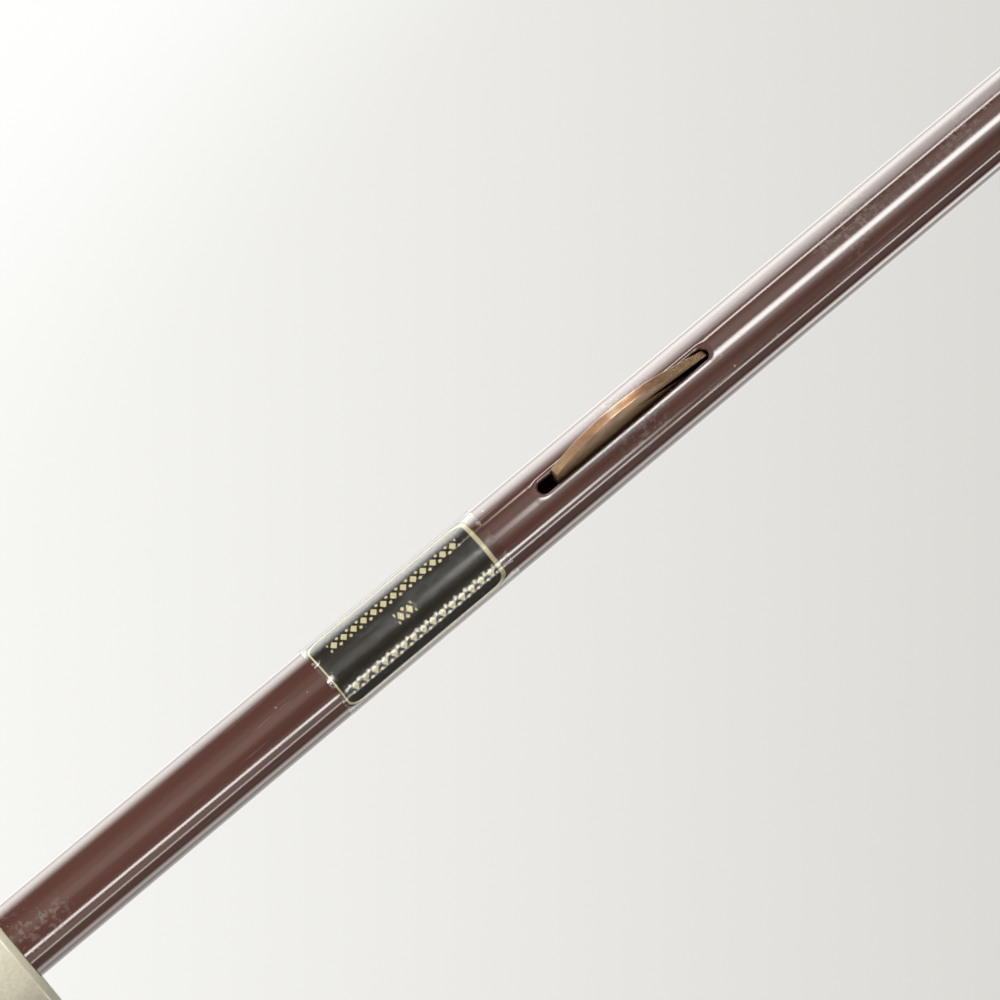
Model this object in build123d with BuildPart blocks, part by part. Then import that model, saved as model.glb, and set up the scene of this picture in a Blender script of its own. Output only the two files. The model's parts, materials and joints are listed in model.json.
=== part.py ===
from build123d import *

import os
from math import atan2, cos, degrees, hypot, pi, radians, sin, tan

# A stick umbrella, modelled open, in millimetres.
#
# +Z runs along the shaft from the crook handle towards the ferrule. The origin lies on the shaft's axis, in
# the rim of the handle's collar, where the bare shaft comes out. The two spring catches face -Y and the crook
# bends towards +X. The eight ribs stand at 22.5, 67.5 ... 337.5 degrees round the shaft, and what repeats on
# every rib is drawn once, in the plane y = 0, and copied round.
#
# The fold is an isosceles linkage: the rib's pivot on the top notch, the joint on the rib and the stretcher's
# pivot on the runner are equally far apart, and both end pivots lie on the circle PIVOT_R. So when a rib
# turns by an angle, its stretcher turns back by twice that, and the runner slides straight along the shaft.

os.makedirs("parts", exist_ok=True)

# ---------------------------------------------------------------- driving dimensions
RIBS = 8
FIRST_AZIMUTH = 180 / RIBS
FIT = 0.02  # radial gap between pieces that are fixed together
RUNNING = 0.05  # radial gap between pieces that turn or slide

SHAFT_R, SHAFT_WALL = 5.0, 0.7
COLLAR_R, COLLAR_LENGTH, COLLAR_WALL, COLLAR_CHAMFER = 10.2, 18.0, 0.5, 0.75

GRIP_R, GRIP_END_Z, CROOK_R, NOSE_LENGTH = 10.0, -112.0, 42.0, 16.0
SHAFT_IN_GRIP = 55.0

HANDLE_PIN_R = 0.9

LABEL_Z, LABEL_LENGTH, LABEL_THICKNESS = 49.5, 25.4, 0.1
LABEL_FROM, LABEL_TO = -51.5, 79.0  # degrees round from -Y towards +X

SLOT_LENGTH, SLOT_WIDTH = 27.3, 2.2
HAND_SLOT_Z = 84.2
BLADE = 1.2
# Places along a catch from its slot's blunt end, and how far its edge stands from the shaft's axis there.
CATCH_BLUNT, CATCH_PEAK, CATCH_SLOPE, CATCH_TOE = 2.7, 12.6, 19.5, 26.2
CATCH_BLUNT_R, CATCH_PEAK_R, CATCH_SLOPE_R, CATCH_TOE_R = 6.2, 9.1, 7.7, 4.35
CATCH_UNDERSIDE, CATCH_NOSE = 1.5, 0.4
TAIL_FROM, TAIL_TOP, TAIL_UNDER = 27.6, 2.5, 1.6
CATCH_PIVOT = 47.0
SPRING_PIN_R = 0.6

RIB_LENGTH, RIB_RADIUS, RIB_DROOP = 624.0, 1480.0, radians(17)
RIB_WIDTH, RIB_DEPTH, SHEET, CHANNEL_START = 3.0, 2.3, 0.5, 4.6
EYE_NECK, NECK_DEPTH = 7.4, 1.9
JOINT_ALONG, JOINT_DROP = 250.0, 3.6
FOLD = radians(60.9)

PIVOT_R, WIRE_R, EYE_R, EYE_HOLE_R, EYE_THICK = 8.0, 0.45, 1.5, 0.55, 1.1
NOTCH_R, NOTCH_SLOT, NOTCH_COLLAR_R = 9.6, 1.5, 6.5
STRETCHER_WIDTH, STRETCHER_DEPTH, STRETCHER_GAP, CHEEK_LENGTH = 2.6, 2.2, 1.6, 6.0
LUG_THICK, LUG_R, SLEEVE, SLEEVE_LENGTH = 1.0, 1.4, 0.4, 7.0
RIVET_R, RIVET_HEAD_R, RIVET_HEAD = 0.6, 1.15, 0.5

RUNNER_R, RUNNER_WALL = 5.75, 0.6
RUNNER_ABOVE, WINDOW_DROP, WINDOW_LENGTH, WINDOW_WIDTH, RUNNER_TAIL = 6.0, 33.0, 23.5, 3.2, 11.0
CLOSED_GAP = 0.15  # between a catch's blunt end and the window's edge

CLOTH, CLOTH_OFFSET, CLOTH_GAP, CLOTH_START, SCALLOP = 0.4, 2.1, 0.1, 6.4, 34.0
WASHER_R, WASHER_THICK = 14.0, 0.8
CUP_R, CUP_HEIGHT = 9.4, 13.0
FERRULE_R, FERRULE_END_R, FERRULE_HEIGHT, FERRULE_WALL = 6.0, 4.2, 92.0, 0.6
TIP_R, TIP_HEIGHT = 3.9, 15.0
STRAP_FROM, STRAP_TO, STRAP_WIDTH, STRAP_THICK = 462.0, 610.0, 20.0, 0.9

# ---------------------------------------------------------------- derived places
half_step = radians(180 / RIBS)


def turning(along):
    """The rib's slope below the horizontal at a length along it, in radians."""
    return RIB_DROOP + along / RIB_RADIUS


# The fold's geometry is first worked out with the top pivot at height 0.
arc_x, arc_z = PIVOT_R - RIB_RADIUS * sin(RIB_DROOP), -RIB_RADIUS * cos(RIB_DROOP)


def below_notch(along, outward=0.0):
    """A point of the rib's plane beside its centre line, as radius and height above the top pivot."""
    reach = RIB_RADIUS + outward
    return arc_x + reach * sin(turning(along)), arc_z + reach * cos(turning(along))


joint_x, joint_below = below_notch(JOINT_ALONG, -JOINT_DROP)
LINK = hypot(joint_x - PIVOT_R, joint_below)
OPEN_ANGLE = atan2(joint_x - PIVOT_R, -joint_below)
open_travel = 2 * LINK * cos(OPEN_ANGLE)
closed_travel = 2 * LINK * cos(OPEN_ANGLE - FOLD)

# Closed, the hand spring's blunt end stands just inside the lower edge of the runner's window.
RUNNER_CLOSED_Z = HAND_SLOT_Z + CATCH_BLUNT - CLOSED_GAP + WINDOW_LENGTH + WINDOW_DROP
NOTCH_Z = RUNNER_CLOSED_Z + closed_travel
RUNNER_Z = NOTCH_Z - open_travel
# Open, the top spring's blunt end stands just under the upper edge of the same window.
TOP_SLOT_Z = RUNNER_Z - WINDOW_DROP - CLOSED_GAP + CATCH_BLUNT
JOINT_Z = NOTCH_Z + joint_below
ARC_Z = NOTCH_Z + arc_z
STOP_PIN_Z = RUNNER_Z + RUNNER_ABOVE + 1.0
HAND_PIN_Z = HAND_SLOT_Z + CATCH_PIVOT
TOP_PIN_Z = TOP_SLOT_Z - CATCH_PIVOT
NOTCH_PIN_Z = NOTCH_Z - 5.5
HANDLE_PIN_Z = -36.0
SHAFT_TOP_Z = NOTCH_Z + 30.0
FERRULE_Z = NOTCH_Z + 6.0
TIP_Z = FERRULE_Z + FERRULE_HEIGHT

rib_arc_axis = Axis((arc_x, 0, ARC_Z), (0, 1, 0))


def rib_point(along, outward=0.0):
    """A point of the rib's plane beside its centre line, as radius and height."""
    x, below = below_notch(along, outward)
    return x, NOTCH_Z + below


def rib_plane(along):
    """The plane across the rib: local x is sideways, local y points out of the canopy."""
    x, z = rib_point(along)
    slope = turning(along)
    return Plane(origin=(x, 0, z), x_dir=(0, 1, 0), z_dir=(cos(slope), 0, -sin(slope)))


def along_slope(start, distance, slope):
    """A place at a distance from a point of the plane y = 0, up the slope, turned to lie along it."""
    return Location((start[0] + distance * cos(slope), start[1] + distance * sin(slope)), degrees(slope))


def write(part, name):
    """Writes one node's STEP file."""
    part.label = name
    export_step(part, f"parts/{name}.step")


def write_around(part, name):
    """Writes one copy of a piece for each rib, as name_1 to name_8."""
    for number in range(RIBS):
        turned = part.rotate(Axis.Z, FIRST_AZIMUTH + 360 / RIBS * number)
        write(turned, name.replace("#", str(number + 1)))


# ---------------------------------------------------------------- shaft
def cross_pin_hole(height, radius, axis_plane):
    """Cuts a hole straight through the piece being built."""
    with BuildSketch(axis_plane) as hole:
        with Locations((0, height)):
            Circle(radius)
    extrude(hole.sketch, amount=30, both=True, mode=Mode.SUBTRACT)


def catch_slot(middle_z, length, width):
    """Cuts a round-ended slot through the wall that faces -Y."""
    with BuildSketch(Plane.XZ) as slot:
        with Locations((0, middle_z)):
            SlotOverall(length, width, rotation=90)
    extrude(slot.sketch, amount=20, mode=Mode.SUBTRACT)


with BuildPart() as shaft_tube:
    with BuildSketch(Plane.XY.offset(-SHAFT_IN_GRIP)):
        Circle(SHAFT_R)
        Circle(SHAFT_R - SHAFT_WALL, mode=Mode.SUBTRACT)
    extrude(amount=SHAFT_TOP_Z + SHAFT_IN_GRIP)
    catch_slot(HAND_SLOT_Z + SLOT_LENGTH / 2, SLOT_LENGTH, SLOT_WIDTH)
    catch_slot(TOP_SLOT_Z - SLOT_LENGTH / 2, SLOT_LENGTH, SLOT_WIDTH)
    for pin_z in (HAND_PIN_Z, TOP_PIN_Z, STOP_PIN_Z, NOTCH_PIN_Z):
        cross_pin_hole(pin_z, SPRING_PIN_R + FIT, Plane.YZ)
    cross_pin_hole(HANDLE_PIN_Z, HANDLE_PIN_R + FIT, Plane.XZ)
write(shaft_tube.part, "shaft_tube")

with BuildPart() as shaft_label:
    with BuildSketch(Plane.XZ):
        with Locations((SHAFT_R + FIT + LABEL_THICKNESS / 2, LABEL_Z + LABEL_LENGTH / 2)):
            Rectangle(LABEL_THICKNESS, LABEL_LENGTH)
    revolve(axis=Axis.Z, revolution_arc=LABEL_TO - LABEL_FROM)
write(shaft_label.part.rotate(Axis.Z, LABEL_FROM - 90), "shaft_label")


# ---------------------------------------------------------------- crook handle and collar
with BuildPart() as crook_handle:
    with BuildLine(Plane.XZ) as crook_path:
        Line((0, -COLLAR_LENGTH), (0, GRIP_END_Z))
        ThreePointArc((0, GRIP_END_Z), (CROOK_R, GRIP_END_Z - CROOK_R), (2 * CROOK_R, GRIP_END_Z))
        Line((2 * CROOK_R, GRIP_END_Z), (2 * CROOK_R, GRIP_END_Z + NOSE_LENGTH))
    with BuildSketch(Plane.XY.offset(-COLLAR_LENGTH)):
        Circle(GRIP_R)
    sweep(path=crook_path.line)
    fillet(crook_handle.faces().filter_by(Axis.Z).sort_by(Axis.X)[-1].edges(), GRIP_R * 0.72)
    with BuildSketch(Plane.XY.offset(-COLLAR_LENGTH)):
        Circle(COLLAR_R - COLLAR_WALL - FIT)
    extrude(amount=COLLAR_LENGTH - 1.0 - FIT)
    with BuildSketch(Plane.XY):
        Circle(SHAFT_R + FIT)
    extrude(amount=-SHAFT_IN_GRIP - FIT, mode=Mode.SUBTRACT)
    cross_pin_hole(HANDLE_PIN_Z, HANDLE_PIN_R + FIT, Plane.XZ)
write(crook_handle.part, "crook_handle")

with BuildPart() as handle_collar:
    with BuildSketch(Plane.XY):
        Circle(COLLAR_R)
    extrude(amount=-COLLAR_LENGTH + 0.1)
    chamfer(handle_collar.faces().sort_by(Axis.Z)[-1].edges(), COLLAR_CHAMFER)
    fillet(handle_collar.faces().sort_by(Axis.Z)[0].edges(), 0.3)
    with BuildSketch(Plane.XY.offset(-1.0)):
        Circle(COLLAR_R - COLLAR_WALL)
    extrude(amount=-COLLAR_LENGTH, mode=Mode.SUBTRACT)
    with BuildSketch(Plane.XY):
        Circle(SHAFT_R + FIT)
    extrude(amount=-2, mode=Mode.SUBTRACT)
write(handle_collar.part, "handle_collar")


# ---------------------------------------------------------------- spring catches
def catch_profile():
    """A catch from the side: local x runs along the slot from its blunt end, local y out of the shaft."""
    with BuildLine() as outline:
        blunt = Line((CATCH_BLUNT, CATCH_UNDERSIDE), (CATCH_BLUNT, CATCH_BLUNT_R - CATCH_NOSE))
        nose = Line(blunt @ 1, (CATCH_BLUNT + CATCH_NOSE, CATCH_BLUNT_R))
        hump = ThreePointArc(nose @ 1, (CATCH_PEAK, CATCH_PEAK_R), (CATCH_SLOPE, CATCH_SLOPE_R))
        slope = Line(hump @ 1, (CATCH_TOE, CATCH_TOE_R))
        toe_end = (CATCH_TOE + 0.9, CATCH_TOE_R - 1.3)
        toe = ThreePointArc(slope @ 1, (CATCH_TOE + 0.7, CATCH_TOE_R - 0.5), toe_end)
        drop = Line(toe @ 1, (TAIL_FROM, TAIL_TOP))
        tail_top = Line(drop @ 1, (CATCH_PIVOT, EYE_R * 0.8))
        tail_end = Line(tail_top @ 1, (CATCH_PIVOT, EYE_R * 0.3))
        tail_under = Line(tail_end @ 1, (TAIL_FROM, TAIL_UNDER))
        Line(tail_under @ 1, blunt @ 0)
    make_face(outline.edges())
    with Locations((CATCH_PIVOT, 0)):
        Circle(EYE_R)
        Circle(SPRING_PIN_R + RUNNING, mode=Mode.SUBTRACT)


def catch_plane(blunt_slot_end, upward):
    """Local x along the slot, away from its blunt end, and local y towards -Y."""
    return Plane(origin=(0, 0, blunt_slot_end), x_dir=(0, 0, upward), z_dir=(upward, 0, 0))


for name, slot_end, upward in (("hand_spring", HAND_SLOT_Z, 1), ("top_spring", TOP_SLOT_Z, -1)):
    with BuildPart() as catch:
        with BuildSketch(catch_plane(slot_end, upward)):
            catch_profile()
        extrude(amount=BLADE / 2, both=True)
    write(catch.part, name)


def cross_pin(height, radius, length, plane=Plane.YZ):
    """Adds a plain pin across the shaft's axis."""
    with BuildSketch(plane) as section:
        with Locations((0, height)):
            Circle(radius)
    extrude(section.sketch, amount=length / 2, both=True)


# Pins of one wire: two flush ones that the catches turn on, and a longer one that stops the open runner.
with BuildPart() as shaft_pins:
    for pin_z in (HAND_PIN_Z, TOP_PIN_Z):
        cross_pin(pin_z, SPRING_PIN_R, 2 * SHAFT_R - 0.1)
    cross_pin(STOP_PIN_Z, SPRING_PIN_R, 2 * SHAFT_R + 2.6)
write(shaft_pins.part, "shaft_pins")

with BuildPart() as handle_pin:
    cross_pin(HANDLE_PIN_Z, HANDLE_PIN_R, 2 * GRIP_R - 0.4, Plane.XZ)
write(handle_pin.part, "handle_pin")


# ---------------------------------------------------------------- top notch and runner
def notch_ring(pivot_z, bore_r, up, collar_length):
    """A slotted flange round the pivot circle and a collar behind it; up is 1 if the collar is above."""
    with BuildSketch(Plane.XY.offset(pivot_z - up * 1.0)) as flange:
        Circle(NOTCH_R)
    extrude(flange.sketch, amount=up * 3.2)
    with BuildSketch(Plane.XY.offset(pivot_z + up * 2.2)) as collar:
        Circle(NOTCH_COLLAR_R)
    extrude(collar.sketch, amount=up * collar_length)
    with BuildSketch(Plane.XY.offset(pivot_z - 20)) as bore:
        Circle(bore_r)
    extrude(bore.sketch, amount=40, mode=Mode.SUBTRACT)
    with BuildSketch(Plane.XY.offset(pivot_z - up * 1.0)) as slots:
        with PolarLocations(6.3 + 3, RIBS, start_angle=FIRST_AZIMUTH):
            Rectangle(6, NOTCH_SLOT)
    extrude(slots.sketch, amount=up * 3.2, mode=Mode.SUBTRACT)
    with BuildSketch(Plane.XY.offset(pivot_z - WIRE_R - RUNNING)) as groove:
        Circle(NOTCH_R + 1)
        Circle(PIVOT_R - WIRE_R - RUNNING, mode=Mode.SUBTRACT)
    extrude(groove.sketch, amount=2 * (WIRE_R + RUNNING), mode=Mode.SUBTRACT)


def wire_ring(pivot_z):
    """The wire that threads the eyes, lying in a notch ring's groove."""
    with BuildSketch(Plane.XZ) as section:
        with Locations((PIVOT_R, pivot_z)):
            Circle(WIRE_R)
    revolve(section.sketch, axis=Axis.Z)


with BuildPart() as top_notch:
    notch_ring(NOTCH_Z, SHAFT_R + FIT, -1, 5.8)
    cross_pin_hole(NOTCH_PIN_Z, SPRING_PIN_R + FIT, Plane.YZ)
write(top_notch.part, "top_notch")

with BuildPart() as top_notch_pin:
    cross_pin(NOTCH_PIN_Z, SPRING_PIN_R, 2 * NOTCH_COLLAR_R)
write(top_notch_pin.part, "top_notch_pin")

with BuildPart() as top_notch_wire:
    wire_ring(NOTCH_Z)
write(top_notch_wire.part, "top_notch_wire")

window_top = RUNNER_Z - WINDOW_DROP
runner_bottom = window_top - WINDOW_LENGTH - RUNNER_TAIL
with BuildPart() as runner_tube:
    with BuildSketch(Plane.XY.offset(runner_bottom)):
        Circle(RUNNER_R)
    extrude(amount=RUNNER_Z + RUNNER_ABOVE - runner_bottom)
    with BuildSketch(Plane.XY.offset(runner_bottom)):
        Circle(RUNNER_R + 0.45)
    extrude(amount=3.0)
    bead_rims = runner_tube.edges().filter_by(GeomType.CIRCLE).filter_by(lambda e: e.radius > RUNNER_R + 0.2)
    fillet(bead_rims, 0.35)
    with BuildSketch(Plane.XY.offset(runner_bottom)):
        Circle(SHAFT_R + 3 * RUNNING)
    extrude(amount=RUNNER_Z + RUNNER_ABOVE - runner_bottom, mode=Mode.SUBTRACT)
    catch_slot(window_top - WINDOW_LENGTH / 2, WINDOW_LENGTH, WINDOW_WIDTH)
write(runner_tube.part, "runner_tube")

with BuildPart() as runner_notch:
    notch_ring(RUNNER_Z, RUNNER_R + FIT, 1, 3.8)
write(runner_notch.part, "runner_notch")

with BuildPart() as runner_wire:
    wire_ring(RUNNER_Z)
write(runner_wire.part, "runner_wire")

# ---------------------------------------------------------------- ribs
with BuildPart() as rib:
    with BuildSketch(rib_plane(CHANNEL_START)):
        Rectangle(RIB_WIDTH, RIB_DEPTH)
        with Locations((0, -SHEET)):
            Rectangle(RIB_WIDTH - 2 * SHEET, RIB_DEPTH, mode=Mode.SUBTRACT)
    revolve(axis=rib_arc_axis, revolution_arc=degrees((RIB_LENGTH - CHANNEL_START) / RIB_RADIUS))
    with BuildSketch(Plane.XZ):
        with Locations((PIVOT_R, NOTCH_Z)):
            Circle(EYE_R)
        with Locations(along_slope((PIVOT_R, NOTCH_Z), EYE_NECK / 2, -RIB_DROOP)):
            Rectangle(EYE_NECK, NECK_DEPTH)
        with Locations((PIVOT_R, NOTCH_Z)):
            Circle(EYE_HOLE_R, mode=Mode.SUBTRACT)
    extrude(amount=EYE_THICK / 2, both=True)
write_around(rib.part, "rib_#")

with BuildPart() as rib_joint:
    with BuildSketch(rib_plane(JOINT_ALONG - SLEEVE_LENGTH / 2)):
        Rectangle(RIB_WIDTH + 2 * (FIT + SLEEVE), RIB_DEPTH + 2 * (FIT + SLEEVE))
        Rectangle(RIB_WIDTH + 2 * FIT, RIB_DEPTH + 2 * FIT, mode=Mode.SUBTRACT)
    revolve(axis=rib_arc_axis, revolution_arc=degrees(SLEEVE_LENGTH / RIB_RADIUS))
    sleeve_middle = RIB_DEPTH / 2 + FIT + SLEEVE / 2
    with BuildSketch(Plane.XZ):
        with Locations((joint_x, JOINT_Z)):
            Circle(LUG_R)
        lug_middle = rib_point(JOINT_ALONG, -(JOINT_DROP + sleeve_middle) / 2)
        with Locations(along_slope(lug_middle, 0, -turning(JOINT_ALONG))):
            Rectangle(2 * LUG_R, JOINT_DROP - sleeve_middle)
        with Locations((joint_x, JOINT_Z)):
            Circle(RIVET_R + RUNNING, mode=Mode.SUBTRACT)
    extrude(amount=LUG_THICK / 2, both=True)
write_around(rib_joint.part, "rib_#_joint")

with BuildPart() as rib_tip:
    tip_start = rib_plane(RIB_LENGTH - 5.5)
    with BuildSketch(tip_start):
        Circle(2.3)
    extrude(amount=7.5)
    fillet(rib_tip.edges().filter_by(GeomType.CIRCLE), 0.5)
    with BuildSketch(tip_start.offset(7.0)):
        Circle(1.1)
    extrude(amount=3.0)
    with Locations(tip_start.offset(10.6)):
        Sphere(1.7)
    with BuildSketch(tip_start):
        Rectangle(RIB_WIDTH + 2 * FIT, RIB_DEPTH + 2 * FIT)
    extrude(amount=5.6, both=True, mode=Mode.SUBTRACT)
write_around(rib_tip.part, "rib_#_tip")


# ---------------------------------------------------------------- stretchers
stretch_slope = pi / 2 - OPEN_ANGLE  # above the horizontal, outwards from the runner
WEB_FROM, WEB_TO = 5.0, LINK - CHEEK_LENGTH / 2


def stretcher_plane(along):
    """Across the stretcher, at a length from its pivot on the runner: local y points to its upper side."""
    return Plane(
        origin=(PIVOT_R + along * cos(stretch_slope), 0, RUNNER_Z + along * sin(stretch_slope)),
        x_dir=(0, 1, 0),
        z_dir=(cos(stretch_slope), 0, sin(stretch_slope)),
    )


with BuildPart() as stretcher:
    with BuildSketch(stretcher_plane(WEB_FROM)):
        Rectangle(STRETCHER_WIDTH, STRETCHER_DEPTH)
        with Locations((0, SHEET)):
            Rectangle(STRETCHER_GAP, STRETCHER_DEPTH, mode=Mode.SUBTRACT)
    extrude(amount=WEB_TO - WEB_FROM)
    with BuildSketch(Plane.XZ):
        with Locations((PIVOT_R, RUNNER_Z)):
            Circle(EYE_R)
        with Locations(along_slope((PIVOT_R, RUNNER_Z), EYE_NECK / 2, stretch_slope)):
            Rectangle(EYE_NECK, NECK_DEPTH)
        with Locations((PIVOT_R, RUNNER_Z)):
            Circle(EYE_HOLE_R, mode=Mode.SUBTRACT)
    extrude(amount=EYE_THICK / 2, both=True)
    for cheek_y in (-STRETCHER_WIDTH / 2, STRETCHER_GAP / 2):
        with BuildSketch(Plane.XZ.offset(cheek_y)):
            with Locations((joint_x, JOINT_Z)):
                Circle(EYE_R)
            with Locations(along_slope((joint_x, JOINT_Z), -CHEEK_LENGTH / 2, stretch_slope)):
                Rectangle(CHEEK_LENGTH, STRETCHER_DEPTH)
            with Locations((joint_x, JOINT_Z)):
                Circle(RIVET_R + FIT, mode=Mode.SUBTRACT)
        extrude(amount=(STRETCHER_WIDTH - STRETCHER_GAP) / 2)
write_around(stretcher.part, "stretcher_#")

with BuildPart() as joint_rivet:
    head_at = STRETCHER_WIDTH / 2 + FIT
    for disc_y, disc_r, thick in (
        (-head_at - RIVET_HEAD, RIVET_HEAD_R, RIVET_HEAD),
        (head_at, RIVET_HEAD_R, RIVET_HEAD),
        (-head_at, RIVET_R, 2 * head_at),
    ):
        with BuildSketch(Plane.XZ.offset(disc_y)):
            with Locations((joint_x, JOINT_Z)):
                Circle(disc_r)
        extrude(amount=thick)
    outer_rims = joint_rivet.edges().filter_by(GeomType.CIRCLE).group_by(Axis.Y)
    fillet(outer_rims[0] + outer_rims[-1], 0.3)
write_around(joint_rivet.part, "stretcher_#_rivet")

# ---------------------------------------------------------------- canopy, washer and strap
# A gore hangs in straight level chords between two ribs, so it is an arch extruded across the gore's middle
# plane. Seen in that plane, the ribs' arc is an ellipse, narrower by the cosine of half the gore's angle.
narrow = cos(half_step)
hem_x, hem_z = rib_point(RIB_LENGTH - 6.0)
hem_half = hem_x * sin(half_step)
scallop_radius = (hem_half**2 + SCALLOP**2) / (2 * SCALLOP)
FAR = 700.0


with BuildPart() as gore:
    with BuildSketch(Plane.XZ):
        with Locations((arc_x * narrow, ARC_Z)):
            inner = RIB_RADIUS + CLOTH_OFFSET
            outer = inner + CLOTH
            Ellipse(outer * narrow, outer)
            Ellipse(inner * narrow, inner, mode=Mode.SUBTRACT)
        with Locations((CLOTH_START, NOTCH_Z)):
            Rectangle(hem_x, FAR, align=(Align.MIN, Align.CENTER), mode=Mode.INTERSECT)
    extrude(amount=FAR, both=True)
    with BuildSketch(Plane.XY.offset(hem_z - FAR)):
        with BuildLine():
            reach = 2 * FAR
            Polyline((0, 0), (reach, reach * tan(half_step)), (reach, -reach * tan(half_step)), (0, 0))
        make_face()
        with Locations((hem_x * narrow - SCALLOP + scallop_radius, 0)):
            Circle(scallop_radius, mode=Mode.SUBTRACT)
        with Locations((reach + hem_x * narrow, 0)):
            Rectangle(2 * reach, 4 * reach, mode=Mode.SUBTRACT)
    extrude(amount=3 * FAR, mode=Mode.INTERSECT)
gore_back = gore.part.moved(Location((CLOTH_GAP, 0, 0)))
gores = [gore_back.rotate(Axis.Z, 360 / RIBS * number) for number in range(RIBS)]
write(Compound(children=gores), "canopy")

with BuildPart() as crown_washer:
    with BuildSketch(Plane.XZ):
        fall = tan(RIB_DROOP)
        near_z = NOTCH_Z + 3.1 + (PIVOT_R - SHAFT_R) * fall
        far_z = near_z - (WASHER_R - SHAFT_R) * fall
        with BuildLine():
            Polyline(
                (SHAFT_R + FIT, near_z),
                (WASHER_R, far_z),
                (WASHER_R, far_z + WASHER_THICK),
                (SHAFT_R + FIT, near_z + WASHER_THICK),
                (SHAFT_R + FIT, near_z),
            )
        make_face()
    revolve(axis=Axis.Z)
write(crown_washer.part, "crown_washer")

with BuildPart() as tie_strap:
    with BuildSketch(rib_plane(STRAP_FROM)):
        with Locations((0, CLOTH_OFFSET + CLOTH + 0.4 + STRAP_THICK / 2)):
            Rectangle(STRAP_WIDTH, STRAP_THICK)
    revolve(axis=rib_arc_axis, revolution_arc=degrees((STRAP_TO - STRAP_FROM) / RIB_RADIUS))
write(tie_strap.part.rotate(Axis.Z, FIRST_AZIMUTH + 360 / RIBS * 6), "tie_strap")

# ---------------------------------------------------------------- ferrule
washer_top = near_z + WASHER_THICK
cup_z = washer_top - (CUP_R - SHAFT_R) * fall + 0.1
with BuildPart() as ferrule_cup:
    with BuildSketch(Plane.XZ):
        with BuildLine():
            bore = FERRULE_R + FIT
            top = (bore + 0.6, cup_z + CUP_HEIGHT)
            foot = Line((bore, washer_top + 0.1 - (bore - SHAFT_R) * fall), (CUP_R, cup_z))
            rim = Line((CUP_R, cup_z), (CUP_R, cup_z + 1.6))
            Spline(rim @ 1, (bore + 1.5, cup_z + 5.5), top, tangents=((-0.6, 1), (0, 1)))
            Line(top, (bore, top[1]))
            Line((bore, top[1]), foot @ 0)
        make_face()
    revolve(axis=Axis.Z)
write(ferrule_cup.part, "ferrule_cup")

with BuildPart() as ferrule:
    base_z = washer_top + 0.15
    with BuildSketch(Plane.XZ):
        with BuildLine():
            socket_z, bore = SHAFT_TOP_Z + 1.0, SHAFT_R + FIT
            Polyline(
                (bore, base_z),
                (FERRULE_R, base_z),
                (FERRULE_R, base_z + CUP_HEIGHT + 4),
                (FERRULE_END_R + 0.3, TIP_Z - 1.2),
                (FERRULE_END_R, TIP_Z),
                (TIP_R - 1.5 + FIT, TIP_Z),
                (TIP_R - 1.5 + FIT, TIP_Z - 9),
                (bore, socket_z),
                (bore, base_z),
            )
        make_face()
    revolve(axis=Axis.Z)
write(ferrule.part, "ferrule")

with BuildPart() as ferrule_tip:
    with BuildSketch(Plane.XY.offset(TIP_Z + 0.05)):
        Circle(TIP_R)
    extrude(amount=TIP_HEIGHT)
    fillet(ferrule_tip.faces().sort_by(Axis.Z)[-1].edges(), 1.2)
    with BuildSketch(Plane.XY.offset(TIP_Z - 8)):
        Circle(TIP_R - 1.5)
    extrude(amount=8.05)
write(ferrule_tip.part, "ferrule_tip")
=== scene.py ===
import json
from math import asin, atan2, cos, hypot, pi, radians, sin, sqrt, tan

import bpy
import numpy as np
from mathutils import Matrix, Vector


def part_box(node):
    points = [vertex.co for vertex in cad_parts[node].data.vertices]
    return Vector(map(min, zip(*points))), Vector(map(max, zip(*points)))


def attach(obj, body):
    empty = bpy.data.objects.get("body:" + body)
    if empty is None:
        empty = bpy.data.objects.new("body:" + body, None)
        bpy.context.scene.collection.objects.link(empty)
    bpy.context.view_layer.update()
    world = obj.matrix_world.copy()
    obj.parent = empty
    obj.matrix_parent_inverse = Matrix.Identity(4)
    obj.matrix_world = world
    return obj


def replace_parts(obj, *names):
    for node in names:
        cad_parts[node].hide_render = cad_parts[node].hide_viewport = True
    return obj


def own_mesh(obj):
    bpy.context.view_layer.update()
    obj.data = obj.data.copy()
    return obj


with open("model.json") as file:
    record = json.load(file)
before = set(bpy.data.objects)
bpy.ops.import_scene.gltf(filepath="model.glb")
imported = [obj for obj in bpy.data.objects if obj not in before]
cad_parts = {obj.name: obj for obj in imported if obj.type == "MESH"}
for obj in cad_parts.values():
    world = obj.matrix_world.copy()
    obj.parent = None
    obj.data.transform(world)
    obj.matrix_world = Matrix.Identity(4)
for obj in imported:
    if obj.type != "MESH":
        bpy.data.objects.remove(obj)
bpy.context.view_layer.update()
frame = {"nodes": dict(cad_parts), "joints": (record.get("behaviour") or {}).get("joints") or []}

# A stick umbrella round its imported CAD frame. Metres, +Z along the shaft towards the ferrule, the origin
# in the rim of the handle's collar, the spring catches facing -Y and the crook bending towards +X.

MM = 0.001
TURN = 2 * pi

# ---------------- sizes the frame doesn't state
RIBS = 8
GORE = TURN / RIBS
SHAFT_R, SHAFT_WALL = 5 * MM, 0.7 * MM
RIB_RADIUS = 1480 * MM
RIB_DROOP = radians(17)
RIB_LENGTH = 624 * MM
LABEL_FROM, LABEL_TO = radians(-51.5), radians(79)  # round from -Y towards +X
FILM_FROM, FILM_TO = radians(-66), radians(94)
LABEL_Z, LABEL_LENGTH = 49.5 * MM, 25.4 * MM
FILM_Z, FILM_LENGTH = 49.1 * MM, 27.2 * MM
SLOT_LENGTH = 27.3 * MM
HAND_SLOT_Z = 84.2 * MM
CATCH_PIVOT = 47 * MM

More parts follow.
